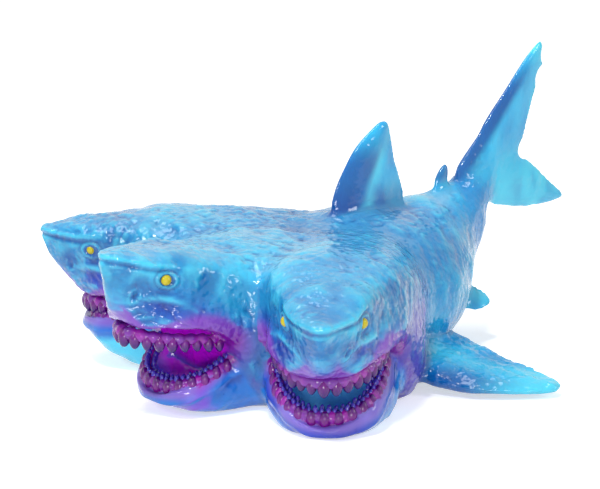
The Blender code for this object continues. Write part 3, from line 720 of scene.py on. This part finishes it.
def creases(u, v, size, stretch, shift):
    """1 along thin wandering lines that run mostly along v, and 0 between them."""
    place = np.stack([u, v / stretch, np.full(len(u), shift * 3.7)], axis=1)
    line = bell(cloud(place, size, shift) - 0.5, 0.11)
    fade = cloud(place, size * 3, shift + 5)
    return line * smooth_step(0.25, 0.65, fade)


def face_relief(head, points, normals):
    """Height of the upper head's wrinkles, lids, brow and lip folds above its smooth form."""
    s, a, h = head.upper_stations(points)
    side = np.abs(a)
    relief = np.zeros(len(points))

    over, beside = from_brow(s, side, h)
    near_brow = bell(beside, 3.5) * smooth_step(25, 17, s)
    near_brow = np.where(s < 4, np.maximum(near_brow, smooth_step(6, 2, s)), near_brow)
    relief += near_brow * (0.50 * bell(over - 0.4, 0.8) - 0.55 * bell(over + 1.4, 0.9))

    du, dv = s - EYE_SETBACK, h - EYE_HEIGHT
    ring = eye_distance(s, h)
    at_eye = smooth_step(0.35 * BROW_AT_EYE, 0.75 * BROW_AT_EYE, side)
    relief += at_eye * (0.50 * bell(ring - 2.4, 0.5) - 0.30 * bell(ring - 3.3, 0.4)
                        - 0.5 * bell(ring, 1.6))
    around = ring * np.arctan2(dv, du)
    bag = at_eye * smooth_step(2.5, -2.5, dv - 0.3 * du) * smooth_step(12, 6, ring)
    bag = bag * smooth_step(3.2, 4.2, ring)
    relief += bag * (0.04 * np.cos(math.tau * ring / 1.9) - 0.25 * creases(
        ring, around, 2.2, 4, 1.0))

    relief += 0.65 * under_eye_fold(s, side, h, 1.3)

    slit = np.hypot(s - NOSTRIL_SETBACK, (h - NOSTRIL_HEIGHT) / 1.7)
    at_side = smooth_step(2.5, 6, side)
    relief += at_side * (0.25 * bell(slit - 1.4, 0.5) - 0.8 * bell(slit, 0.7))

    above = above_lip(s, h)
    folds = smooth_step(0.8, 2.0, above) * smooth_step(13, 6, above) * smooth_step(38, 20, s)
    relief -= folds * 0.40 * creases(h + 0.20 * s, a + s, 2.6, 6, 2.0)
    front_folds = smooth_step(21, 24, h) * smooth_step(36, 30, h) * smooth_step(20, 14, s)
    bend = h - 0.02 * a ** 2 + 1.5 * cloud(points, 8.0, 1.0)
    relief += front_folds * 0.13 * np.cos(math.tau * bend / 2.6)
    relief += 0.45 * bell(above - 0.9, 1.0) * smooth_step(48, 40, s) * smooth_step(11, 15, s)

    from_corner = np.hypot(s - 46, (h - 25) * 0.8)
    angle = np.arctan2(h - 25, s - 46)
    cheek = smooth_step(4, 8, from_corner) * smooth_step(34, 20, from_corner)
    cheek = cheek * smooth_step(38, 46, s) * smooth_step(8, 16, side)
    relief -= cheek * 0.34 * creases(from_corner, from_corner * angle, 2.8, 6, 3.0)

    flank = smooth_step(22, 32, s) * smooth_step(66, 50, s) * smooth_step(52, 44, h)
    sweep = s + 0.25 * h
    relief -= flank * smooth_step(8, 14, side) * 0.26 * creases(sweep, h, 2.4, 5, 4.0)

    top = smooth_step(0.55, 0.85, normals[:, 2]) * smooth_step(18, 26, s)
    top = top * smooth_step(56, 42, s)
    relief -= top * 0.15 * creases(s + 0.012 * a ** 2, a, 2.2, 6, 5.0)
    return relief


def jaw_relief(head, points):
    """Height of the folds under the lower gum."""
    s, a, h = head.lower_stations(points)
    under = rim_height((s - JAW_START) / JAW_LENGTH) - h
    folds = smooth_step(2.5, 4.5, under) * smooth_step(14, 9, under)
    outside = smooth_step(0.5, 0.7, np.abs(a) / JAW_HALF_WIDTH + smooth_step(10, 0, s - JAW_START))
    relief = 0.5 * bell(under - 4.2, 1.1) * outside
    return relief - 0.35 * folds * creases(under, a + s, 2.8, 6, 6.0)


def body_relief(points, normals):
    """Height of the soft lumps and slanting streaks on the trunk, necks and fins."""
    lumps = (cloud(points, 17.0, 4.0) - 0.5) * 1.6 + (cloud(points, 8.0) - 0.5) * 1.3
    lumps = lumps + (cloud(points, 4.0, 9.0) - 0.5) * 0.35
    slanted = points @ np.array([[1, 0, 0], [0, 1, 0.5], [0, -0.5, 1]])
    slanted = slanted * np.array([0.35, 1.0, 0.35])
    streaks = (cloud(slanted, 3.4, 6.0) - 0.5) * 0.60
    flat_ground = smooth_step(0.3, 2.5, points[:, 2])
    return (lumps + streaks) * flat_ground


def hammered(points, size, shift):
    """Rounded bumps that meet in sharp creases, from 0 in a crease to 1."""
    return np.abs(2 * cloud(points, size, shift) - 1)


def detailed(forms, points, normals):
    kinds, heads = part_masks(forms, points)
    relief = np.zeros(len(points))
    for number, head in enumerate(HEADS):
        mine = heads == number
        upper = mine & (kinds == "skull")
        lower = mine & (kinds == "jaw")
        outside = normals[:, 2] > -0.55
        relief[upper] += (face_relief(head, points[upper], normals[upper])
                          * outside[upper])
        relief[lower] += jaw_relief(head, points[lower])
    gums = np.isin(kinds, ("upper_gum", "lower_gum"))
    smooth = np.isin(kinds, ("dorsal", "second_dorsal", "tail", "tail_tip", "tail_lower"))
    relief += body_relief(points, normals) * np.where(gums, 0.3, np.where(smooth, 0.45, 1.0))
    bumpy = (kinds == "skull") * smooth_step(0.42, 0.60, cloud(points, 15.0, 3.0))
    bumpy = bumpy * np.where(heads == 1, 0.35, 1.0)
    bumpy = bumpy + 0.6 * (kinds == "trunk") * smooth_step(0.50, 0.65, cloud(points, 13.0, 2.0))
    bumpy = bumpy + 0.9 * (kinds == "pectoral")
    bumpy = bumpy * smooth_step(-0.3, 0.2, normals[:, 2])
    relief += bumpy * (0.60 * hammered(points, 3.3, 8.0) + 0.30 * hammered(points, 1.9, 5.0))
    return points + normals * relief[:, None]


def point_normals(mesh):
    flat = np.empty(len(mesh.vertices) * 3)
    mesh.vertex_normals.foreach_get("vector", flat)
    return flat.reshape(-1, 3)


def linear(colour):
    values = np.array(colour) / 255
    return np.where(values < 0.04045, values / 12.92, ((values + 0.055) / 1.055) ** 2.4)


def mixed(colours, colour, share):
    return colours + (linear(colour) - colours) * np.clip(share, 0, 1)[:, None]


def hollowness(points, normals, edges, passes):
    """How far each point lies below its neighbourhood, in millimetres."""
    smooth = relaxed(points, edges, np.ones(len(points)), passes)
    return ((smooth - points) * normals).sum(axis=1)


class Paint:
    """The skin's colours, put on coat by coat, and what each point belongs to."""

    def __init__(self, points, normals, kinds, heads):
        self.points = points
        self.normals = normals
        self.up = normals[:, 2]
        self.kinds = kinds
        self.heads = heads
        self.colours = np.tile(linear(CYAN), (len(points), 1))

    def on(self, *kinds):
        """Which points lie on forms of these kinds."""
        return np.isin(self.kinds, kinds)

    def coat(self, colour, share):
        """Mixes a colour into each point by its share."""
        self.colours = mixed(self.colours, colour, share)


def body_coats(paint):
    """Drifting patches over the whole skin, lavender pearl with a painted sheen on the tops,
    and the back's dark saddle and its pale ridge, partly a painted highlight.
    """
    points = paint.points
    patches = cloud(points, 22.0) * 0.7 + cloud(points, 9.0, 4.0) * 0.3
    paint.coat(DEEP, 0.55 * smooth_step(0.45, 0.75, patches))
    paint.coat(PALE, 0.45 * smooth_step(0.50, 0.25, patches))
    # Lavender pearl on the upward-facing tops, partly a painted sheen
    top = smooth_step(0.70, 0.98, paint.up)
    pearl_and_sheen = top * paint.on("skull", "trunk") * (0.30 + 0.70 * cloud(points, 12.0, 7.0))
    paint.coat(LAVENDER, 0.55 * pearl_and_sheen)

    trunk_part = paint.on("trunk")
    y, z = points[:, 1], points[:, 2]
    saddle = bell(y - 24, 14) * smooth_step(30, 40, z) * smooth_step(0.9, 0.6, paint.up)
    paint.coat(DEEP, 0.55 * saddle * trunk_part)
    rear = smooth_step(24, 38, y) * smooth_step(50, 38, z)
    rear = rear * smooth_step(0.15, 0.55, cloud(points, 10.0, 1.5))
    paint.coat(LAVENDER, 0.80 * rear * trunk_part)
    # A rose-grey strip along the back's top ridge, partly a painted highlight
    ridge = smooth_step(34, 40, y) * smooth_step(52, 46, y) * top
    paint.coat(ROSE_GREY, 0.55 * ridge * trunk_part)


def face_coats(paint, head, mine):
    """The outside of an upper head: its muzzle, eyes, brow, cheeks, neck and lip."""
    tone = HEAD_PAINT[head.name]
    points, up = paint.points, paint.up
    s, a, h = head.upper_stations(points)
    side = np.abs(a)
    above = above_lip(s, h)
    skull_part = mine & paint.on("skull")
    front = skull_part * smooth_step(17, 5, s) * smooth_step(0.5, 0.1, up)
    paint.coat(PALE, tone.muzzle * front * smooth_step(5, 12, above))
    # Painted shade: the head's side darkened by each head's own share
    flank = skull_part * smooth_step(20, 34, s) * smooth_step(0.75, 0.4, up)
    paint.coat(DEEP, tone.flank * flank * smooth_step(80, 60, s))
    # Painted shade: indigo below the fold under the eye
    under_eye = skull_part * bell(np.hypot((s - 19.5) * 0.70, h - 34.6), 5.4)
    paint.coat(INDIGO, 0.90 * under_eye)
    temple = skull_part * bell(np.hypot(s - 27, (h - 47.0) * 0.8), 5.0)
    paint.coat(DEEP, 0.60 * temple)
    # Painted shade round the nostrils on the muzzle's sides
    muzzle = skull_part * bell(np.hypot(s - 10, h - 38.5), 4.5)
    paint.coat(DEEP, 0.60 * muzzle)
    mottle = skull_part * smooth_step(40, 30, s) * smooth_step(0.8, 0.5, up)
    spots = cloud(points, 5.0, 11.0)
    paint.coat(DEEP, 0.45 * mottle * smooth_step(0.52, 0.72, spots))
    paint.coat(PALE, 0.30 * mottle * smooth_step(0.42, 0.25, spots))

    over, beside = from_brow(s, side, h)
    brow = skull_part * smooth_step(26, 18, s) * bell(beside, 3.0)
    # Painted shade in the groove under the brow ridge, and a painted highlight along the ridge's
    # top
    paint.coat(DEEP, 0.50 * brow * bell(over + 1.4, 0.7))
    paint.coat(PALE, 0.25 * brow * bell(over - 0.5, 0.6))
    ring = eye_distance(s, h)
    at_eye = skull_part * (side > 6)
    # Painted shade in the crevice round the eye, and a painted highlight on the lid's rim
    paint.coat(DEEP, 0.60 * at_eye * bell(ring - 1.9, 0.8))
    paint.coat(PALE, 0.22 * at_eye * bell(ring - 3.0, 0.5))
    # Painted highlight along the fold under the eye, as if it catches light from above
    paint.coat(PALE, 0.35 * skull_part * under_eye_fold(s, side, h, 1.2))

    spread = cloud(points, 8.0, 2.0) * 4.0
    reach = 3.5 + 9.5 * smooth_step(15, 30, s)
    lip = skull_part * smooth_step(1.0, 0.2, above / reach + 0.08 * (spread - 2.0))
    lip = lip * smooth_step(54, 44, s) * smooth_step(3, 12, s)
    paint.coat(VIOLET, 0.72 * lip)
    paint.coat(ORCHID, 0.55 * lip * smooth_step(0.55, 0.95, lip))
    corner = mine * bell(np.hypot(s - 44, h - 24.0), 6.0) * (h < 32)
    paint.coat(PURPLE, 0.85 * corner * smooth_step(10, 16, side))
    neck = smooth_step(45, 56, s) * smooth_step(92, 74, s) * smooth_step(44, 28, h)
    paint.coat(VIOLET, tone.neck * neck * skull_part * smooth_step(0, 12, a))


def palate_coats(paint, head, mine):
    """The roof of a mouth and its back wall."""
    tone = HEAD_PAINT[head.name]
    s, a, h = head.upper_stations(paint.points)
    side = np.abs(a)
    above = above_lip(s, h)
    inside = (mine & paint.on("skull")) * smooth_step(-0.25, -0.6, paint.up)
    inside = inside * smooth_step(17, 21, s) * smooth_step(60, 52, s)
    paint.coat(PURPLE, 0.95 * inside * (above < 3.5))
    deep_in = smooth_step(12.5, 9, side) * smooth_step(24, 32, s)
    paint.coat(tone.palate, 0.95 * inside * deep_in * (above < 6))
    x, y = paint.normals[:, 0], paint.normals[:, 1]
    facing = math.sin(head.yaw) * x - math.cos(head.yaw) * y
    wall = mine * smooth_step(19, 15, side) * smooth_step(34, 40, s) * smooth_step(62, 56, s)
    paint.coat(tone.palate, wall * smooth_step(0.2, 0.5, facing) * (h < 27))


def jaw_coats(paint, head, mine):
    """A lower jaw: the mouth's floor, and the outside from the gum down to the chin."""
    tone = HEAD_PAINT[head.name]
    points, up = paint.points, paint.up
    s, a, h = head.lower_stations(points)
    under = rim_height((s - JAW_START) / JAW_LENGTH) - h
    jaw_part = mine & paint.on("jaw")
    core = jaw_part * smooth_step(16, 13, np.abs(a)) * smooth_step(17, 21, s)
    core = core * smooth_step(-0.3, 0.1, up)
    length = LOWER_ARCH_BACK - LOWER_ARCH_FRONT
    from_arch = (np.abs(a / LOWER_ARCH_HALF_WIDTH) ** LOWER_ARCH_SQUARENESS
                 + (np.maximum(LOWER_ARCH_BACK - s, 0) / length) ** LOWER_ARCH_SQUARENESS)
    floor = jaw_part * smooth_step(0.2, 0.6, up) * smooth_step(1.1, 0.9, from_arch)
    floor = np.maximum(floor, core)
    # The floor's blue is partly painted light, lighter than its own colour against the mouth's
    # shade
    paint.coat(FLOOR_BLUE, 0.95 * floor)
    paint.coat(THROAT, tone.throat * floor * smooth_step(25, 35, s))

    outer = jaw_part * np.maximum(up < 0.5, smooth_step(0.9, 1.1, from_arch))
    paint.coat(SKY, 0.50 * outer)
    rim = outer * smooth_step(12, 6, under) * smooth_step(0.5, 3.5, under)
    paint.coat(ULTRAMARINE, tone.rim * rim * (0.6 + 0.4 * cloud(points, 7.0, 3.0)))
    paint.coat(ORCHID, 0.60 * outer * smooth_step(4.0, 1, under))
    paint.coat(PALE, tone.chin * outer * smooth_step(5, 9, under))


def gum_coats(paint):
    gums = paint.on("upper_gum", "lower_gum")
    paint.coat(PURPLE, 0.95 * gums)
    # Painted magenta glints, in patches placed at random on the gums
    paint.coat(MAGENTA, 0.30 * gums * smooth_step(0.35, 0.75, cloud(paint.points, 4.0, 2.0)))


def shade_and_highlight_coats(paint, edges):
    """Painted shade in the hollows and painted highlights on the crests of the outside."""
    body = paint.on("skull", "trunk")
    outside = body * smooth_step(-0.45, -0.1, paint.up)
    outside = outside + paint.on("jaw") * smooth_step(0.5, 0.2, paint.up)
    for passes, depth, strength in ((14, 0.32, 0.50), (4, 0.12, 0.28)):
        hollow = hollowness(paint.points, paint.normals, edges, passes) / depth
        # Painted shade: hollows darkened as if less light reached them
        dark = smooth_step(0.15, 1.0, hollow) * outside * strength
        paint.colours = paint.colours * (1 - dark[:, None] * SHADE_LOSS)
        # Painted highlight: crests made paler as if lit
        painted_highlight = smooth_step(-0.15, -1.0, hollow) * outside * body
        paint.coat(PALE, 0.5 * strength * painted_highlight * (paint.colours[:, 1] > 0.12))


def stalk_coats(paint):
    """The trunk's sides and the tail's root, in a fuller blue than the rest."""
    trunk_part = paint.on("trunk")
    y = paint.points[:, 1]
    paint.coat(AZURE, 0.85 * trunk_part * smooth_step(46, 55, y))
    sides = smooth_step(0.9, 0.6, paint.up) * smooth_step(44, 30, y)
    paint.coat(OCEAN, 0.35 * trunk_part * sides)


def fin_coats(paint):
    """The fins: dark leading edges, pale tips, soft streaks and painted highlights."""
    out, y, z = np.abs(paint.points[:, 0]), paint.points[:, 1], paint.points[:, 2]
    dorsal = paint.on("dorsal")
    lead = dorsal * smooth_step(6, 0, y - 0.78 * (z - 56)) * smooth_step(82, 70, z)
    paint.coat(BRIGHT_CYAN, 0.70 * dorsal)
    paint.coat(DEEP, 0.85 * lead)
    paint.coat(DEEP, 0.75 * dorsal * smooth_step(9, 0, z - 56))
    # A painted highlight streak across the dorsal fin's middle
    paint.coat(PALE, 0.65 * dorsal * bell(y - 10 - 0.5 * (z - 60), 2.6))
    paint.coat(DEEP, 0.70 * paint.on("second_dorsal") * smooth_step(56, 60, z))

    tail = paint.on("tail", "tail_lower", "tail_tip")
    paint.coat(AQUA, 0.60 * tail)
    # The lower lobe paler, partly the thin vinyl's own paleness and partly painted light against
    # its shade
    paint.coat(PALE, 0.60 * paint.on("tail_lower"))
    paint.coat(PALE, 0.60 * tail * smooth_step(92, 100, z))
    stripe = tail * smooth_step(6, 1, y - 55 - 0.93 * (z - 58)) * smooth_step(98, 86, z)
    paint.coat(DEEP, 0.90 * stripe)

    pectoral = paint.on("pectoral")
    behind_edge = y + 12 - 0.011 * np.maximum(out - 26, 0) ** 2
    # Painted highlight along the lit ridge behind the pectoral fin's leading edge
    paint.coat(PALE, 0.45 * pectoral * bell(behind_edge - 14, 7))
    paint.coat(DEEP, 0.60 * pectoral * smooth_step(6, 0, behind_edge))
    paint.coat(PALE, 0.75 * pectoral * smooth_step(58, 78, out))

    streaked = paint.on("dorsal", "tail", "tail_lower", "pelvic")
    streaks = cloud(paint.points * np.array([0.5, 1.0, 0.45]), 4.5, 12.0)
    paint.coat(STREAK_BLUE, 0.30 * streaked * smooth_step(0.50, 0.75, streaks))
    pale_streaks = streaked * smooth_step(0.45, 0.25, streaks)
    paint.coat(PALE, 0.25 * pale_streaks * (1 - stripe) * (1 - lead))


def soften_borders(paint, edges):
    """Blends the paint across the borders between forms, apart from the jaws and gums."""
    gums = paint.on("upper_gum", "lower_gum")
    border = paint.kinds[edges[:, 0]] != paint.kinds[edges[:, 1]]
    border = border & ~gums[edges].any(axis=1)
    near_border = np.zeros((len(paint.points), 3))
    near_border[edges[border].ravel()] = 1.0
    near_border = relaxed(near_border, edges, np.ones(len(paint.points)), 8)
    soft = smooth_step(0.02, 0.15, near_border[:, 0])
    soft = soft * ~paint.on("jaw", "upper_gum", "lower_gum")
    paint.colours = relaxed(paint.colours, edges, soft, 14)


def skin_paint(points, normals, edges, kinds, heads):
    paint = Paint(points, normals, kinds, heads)
    body_coats(paint)
    for number, head in enumerate(HEADS):
        mine = heads == number
        face_coats(paint, head, mine)
        palate_coats(paint, head, mine)
        jaw_coats(paint, head, mine)
    gum_coats(paint)
    shade_and_highlight_coats(paint, edges)
    stalk_coats(paint)
    fin_coats(paint)
    soften_borders(paint, edges)
    bluish = smooth_step(0.0, 0.15, paint.colours[:, 1] - paint.colours[:, 0])
    paint.colours[:, 0] *= 1 - RED_LOSS * bluish
    return paint.colours


def skin_grain(points, edges, kinds):
    """How pitted the skin is, from 0 on the fins to 1 on the heads."""
    grain = np.where(kinds == "skull", 1.0, 0.25)
    grain = np.where(np.isin(kinds, ("trunk", "pectoral")), 0.7, grain)
    grain = relaxed(np.repeat(grain[:, None], 3, axis=1), edges, np.ones(len(points)), 30)
    return grain[:, 0] * (0.5 + 0.5 * cloud(points, 12.0, 6.0))


def store_colours(mesh, name, colours):
    layer = mesh.color_attributes.new(name, "FLOAT_COLOR", "POINT")
    full = np.concatenate([colours, np.ones((len(colours), 1))], axis=1)
    layer.data.foreach_set("color", full.ravel())


def make_skin():
    forms = all_forms()
    obj = fused(forms)
    edges = mesh_edges(obj.data)
    points = read_points(obj.data) / MM
    points = blended(forms, points, edges)
    write_points(obj.data, shrunk(points))
    points = detailed(forms, points, point_normals(obj.data))
    points[:, 2] = np.maximum(points[:, 2], 0.0)
    write_points(obj.data, shrunk(points))
    triangles = sum(len(p.vertices) - 2 for p in obj.data.polygons)
    thinning = obj.modifiers.new("thin", "DECIMATE")
    thinning.ratio = SKIN_TRIANGLES / triangles
    apply_modifiers(obj)
    mesh = obj.data
    points = read_points(mesh) / MM
    edges = mesh_edges(mesh)
    kinds, heads = part_masks(forms, points)
    store_colours(mesh, "paint", skin_paint(points, point_normals(mesh), edges, kinds, heads))
    grain = mesh.attributes.new("grain", "FLOAT", "POINT")
    grain.data.foreach_set("value", skin_grain(points, edges, kinds))
    mesh.shade_smooth()
    mesh.materials.clear()
    mesh.materials.append(vinyl())
    return obj


def node(tree, kind, **values):
    made = tree.nodes.new(kind)
    for name, value in values.items():
        made.inputs[name.replace("_", " ")].default_value = value
    return made


def vinyl():
    """Clear vinyl with the colours of the paint layer, pitted and glossy."""
    material = bpy.data.materials.new("clear_vinyl")
    material.use_nodes = True
    tree = material.node_tree
    shader = tree.nodes["Principled BSDF"]
    paint = tree.nodes.new("ShaderNodeAttribute")
    paint.attribute_name = "paint"
    tree.links.new(paint.outputs["Color"], shader.inputs["Base Color"])
    shader.inputs["Roughness"].default_value = 0.08
    shader.inputs["IOR"].default_value = 1.5
    shader.inputs["Subsurface Weight"].default_value = 0.30
    shader.inputs["Subsurface Radius"].default_value = (0.4, 0.9, 1.0)
    shader.inputs["Subsurface Scale"].default_value = 0.003
    place = tree.nodes.new("ShaderNodeTexCoord")
    pits = tree.nodes.new("ShaderNodeTexVoronoi")
    pits.feature = "SMOOTH_F1"
    pits.inputs["Scale"].default_value = 430.0
    pits.inputs["Smoothness"].default_value = 0.6
    tree.links.new(place.outputs["Object"], pits.inputs["Vector"])
    coarse = node(tree, "ShaderNodeTexNoise", Scale=330.0, Detail=2.0, Roughness=0.6)
    tree.links.new(place.outputs["Object"], coarse.inputs["Vector"])
    both = tree.nodes.new("ShaderNodeMath")
    both.operation = "ADD"
    tree.links.new(pits.outputs["Distance"], both.inputs[0])
    tree.links.new(coarse.outputs["Fac"], both.inputs[1])
    grain = tree.nodes.new("ShaderNodeAttribute")
    grain.attribute_name = "grain"
    depth = tree.nodes.new("ShaderNodeMath")
    depth.operation = "MULTIPLY"
    tree.links.new(both.outputs[0], depth.inputs[0])
    tree.links.new(grain.outputs["Fac"], depth.inputs[1])
    bump = node(tree, "ShaderNodeBump", Strength=0.65, Distance=0.0009)
    tree.links.new(depth.outputs[0], bump.inputs["Height"])
    tree.links.new(bump.outputs["Normal"], shader.inputs["Normal"])
    return material


def plain_gloss(name, colour, roughness=0.12, subsurface=0.0):
    material = bpy.data.materials.new(name)
    material.use_nodes = True
    shader = material.node_tree.nodes["Principled BSDF"]
    shader.inputs["Base Color"].default_value = (*linear(colour), 1.0)
    shader.inputs["Roughness"].default_value = roughness
    shader.inputs["Subsurface Weight"].default_value = subsurface
    shader.inputs["Subsurface Scale"].default_value = 0.003
    return material


def drop(centre, axis, half_width, length, taper, rows=9):
    """A blunt tooth: a drop that is widest at its root and rounded at its tip."""
    points, faces = ball(1.0, (0, 0, 0), rows)
    turn = Vector(axis).to_track_quat("Z", "Y").to_matrix()
    made = []
    for x, y, z in points:
        width = half_width * (1.0 - taper * max(0.0, z) ** 1.3)
        made.append(Vector(centre) + turn @ Vector((x * width, y * width, z * length)))
    return made, faces, [z for _, _, z in points]


def tooth_rows(head):
    """The points, faces and tint of each tooth and knob of a head."""
    teeth = []
    centre = Vector(head.upper(0.9 * MOUTH_LENGTH, 0, LIP_HEIGHT))

    def add(root, axis, half_width, length, taper, tint):
        points, faces, heights = drop(root, axis, half_width, length, taper)
        teeth.append((points, faces, [tint + 0.5 * height for height in heights]))

    def outward(root):
        return Vector((root[0] - centre.x, root[1] - centre.y, 0)).normalized()

    wobble = np.random.default_rng(11)
    for root, share in zip(*along(upper_arch(head, 61), TOOTH_COUNT)):
        size = (1.0 - 0.25 * share ** 2) * wobble.uniform(0.88, 1.1)
        axis = (Vector((0, 0, -1)) + 0.15 * outward(root)).normalized()
        low = Vector(root) - Vector((0, 0, 1.7)) + 0.4 * outward(root)
        add(low, axis, 2.1 * size, 3.2 * size, 0.22, UPPER_TINT)
    for root, share in zip(*along(lower_arch(head, 61), TOOTH_COUNT)):
        size = (1.0 - 0.25 * share ** 2) * wobble.uniform(0.92, 1.08)
        out = outward(root)
        low = Vector(root) + out * 0.9 - Vector((0, 0, 0.6))
        axis = (Vector((0, 0, 1)) + 0.10 * out).normalized()
        add(low, axis, 1.95 * size, 3.2 * size, 0.15, LOWER_TINT)
    knobs = 2 * TOOTH_COUNT
    for root, share in zip(*along(lower_arch(head, 61, inset=0.3, rise=1.6), knobs)):
        size = (1.0 - 0.20 * share ** 2) * wobble.uniform(0.8, 1.15)
        axis = (Vector((0, 0, 1)) + 0.1 * outward(root)).normalized()
        add(root, axis, 1.0 * size, 1.8 * size, 0.2, KNOB_TINT)
    for root, share in zip(*along(lower_arch(head, 61, inset=2.4, rise=0.4), knobs - 6)):
        size = (1.0 - 0.20 * share ** 2) * wobble.uniform(0.8, 1.15)
        axis = (Vector((0, 0, 1)) - 0.1 * outward(root)).normalized()
        add(root, axis, 0.95 * size, 1.9 * size, 0.2, KNOB_TINT)
    return teeth


def make_teeth():
    teeth = [tooth for head in HEADS for tooth in tooth_rows(head)]
    obj = new_object("teeth", [(points, faces) for points, faces, _ in teeth])
    tints = np.concatenate([tint for _, _, tint in teeth])
    colours = np.tile(linear(TOOTH_ROOT), (len(tints), 1))
    colours = mixed(colours, PLUM, smooth_step(0.0, 0.9, tints))
    colours = mixed(colours, KNOB_BLUE, smooth_step(0.9, 1.1, tints))
    store_colours(obj.data, "paint", colours)
    obj.data.shade_smooth()
    obj.data.materials.append(tooth_gloss())
    return obj


def tooth_gloss():
    material = plain_gloss("tooth_paint", PLUM, subsurface=0.2)
    tree = material.node_tree
    paint = tree.nodes.new("ShaderNodeAttribute")
    paint.attribute_name = "paint"
    tree.links.new(paint.outputs["Color"], tree.nodes["Principled BSDF"].inputs["Base Color"])
    return material


def make_eyes():
    inset = 1.75
    obj = new_object("eyes", [
        ball(EYE_RADIUS, head.upper(EYE_SETBACK, side * (BROW_AT_EYE - inset), EYE_HEIGHT), 12)
        for head in HEADS for side in (-1, 1)])
    obj.data.shade_smooth()
    obj.data.materials.append(plain_gloss("eye_paint", EYE_YELLOW, 0.15))
    return obj


def soft_light(name, place, size, power):
    data = bpy.data.lights.new(name, "AREA")
    data.shape = "RECTANGLE"
    data.size, data.size_y = size
    data.energy = power
    lamp = bpy.data.objects.new(name, data)
    lamp.location = place
    lamp.rotation_euler = (Vector(place) - Vector((0, 0, 0.03))).to_track_quat("Z", "Y").to_euler()
    bpy.context.scene.collection.objects.link(lamp)


def camera_axes():
    direction = Vector((math.sin(CAMERA_AZIMUTH) * math.cos(CAMERA_HEIGHT),
                        -math.cos(CAMERA_AZIMUTH) * math.cos(CAMERA_HEIGHT),
                        math.sin(CAMERA_HEIGHT)))
    right = Vector((math.cos(CAMERA_AZIMUTH), math.sin(CAMERA_AZIMUTH), 0))
    return direction, right, direction.cross(right)


def sees_background(tree):
    """1 for rays from the camera and for those that a gloss or glass sends on."""
    sight = tree.nodes.new("ShaderNodeLightPath")
    total = sight.outputs["Is Camera Ray"]
    for kind in ("Is Glossy Ray", "Is Transmission Ray"):
        either = node(tree, "ShaderNodeMath")
        either.operation = "MAXIMUM"
        tree.links.new(total, either.inputs[0])
        tree.links.new(sight.outputs[kind], either.inputs[1])
        total = either.outputs[0]
    return total


def make_studio():
    floor_mesh = bpy.data.meshes.new("floor")
    floor_mesh.from_pydata([(-6, -6, 0), (6, -6, 0), (6, 6, 0), (-6, 6, 0)], [], [(0, 1, 2, 3)])
    floor = bpy.data.objects.new("floor", floor_mesh)
    floor.location.z = -0.0003
    material = bpy.data.materials.new("white_floor")
    material.use_nodes = True
    shader = material.node_tree.nodes["Principled BSDF"]
    shader.inputs["Base Color"].default_value = (0.88, 0.89, 0.90, 1)
    shader.inputs["Roughness"].default_value = 0.9
    shader.inputs["Specular IOR Level"].default_value = 0.0
    shader.inputs["Emission Color"].default_value = (1, 1, 1, 1)
    tree = material.node_tree
    glow = node(tree, "ShaderNodeMath")
    glow.operation = "MULTIPLY"
    glow.inputs[1].default_value = FLOOR_GLOW
    tree.links.new(sees_background(tree), glow.inputs[0])
    tree.links.new(glow.outputs[0], shader.inputs["Emission Strength"])
    floor_mesh.materials.append(material)
    bpy.context.scene.collection.objects.link(floor)

    world = bpy.data.worlds.new("studio")
    bpy.context.scene.world = world
    world.use_nodes = True
    tree = world.node_tree
    background = tree.nodes["Background"]
    background.inputs["Color"].default_value = (1, 1, 1, 1)
    level = tree.nodes.new("ShaderNodeMapRange")
    level.inputs["To Min"].default_value = WORLD_STRENGTH
    level.inputs["To Max"].default_value = 1.0
    tree.links.new(sees_background(tree), level.inputs["Value"])
    tree.links.new(level.outputs["Result"], background.inputs["Strength"])

    direction, right, _ = camera_axes()
    ahead = Vector((direction.x, direction.y, 0)).normalized()
    for name, (near, beside, height), size, power in LAMPS:
        place = ahead * near + right * beside + Vector((0, 0, height))
        soft_light(name, place, size, power)


def make_camera():
    direction, right, up = camera_axes()
    hub = Vector((0, HUB_Y * MM, 0))
    target = hub + right * AIM_RIGHT * MM + up * AIM_UP * MM
    data = bpy.data.cameras.new("camera")
    data.lens = CAMERA_LENS
    data.sensor_width = 36.0
    camera = bpy.data.objects.new("camera", data)
    camera.location = hub + direction * CAMERA_DISTANCE * MM
    camera.rotation_euler = (camera.location - target).to_track_quat("Z", "Y").to_euler()
    bpy.context.scene.collection.objects.link(camera)
    bpy.context.scene.camera = camera


skin = make_skin()
teeth = make_teeth()
eyes = make_eyes()
for piece in (skin, teeth, eyes):
    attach(piece, "root")
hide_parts("shark_figurine")
make_studio()
make_camera()
bpy.context.scene.view_settings.view_transform = "Standard"
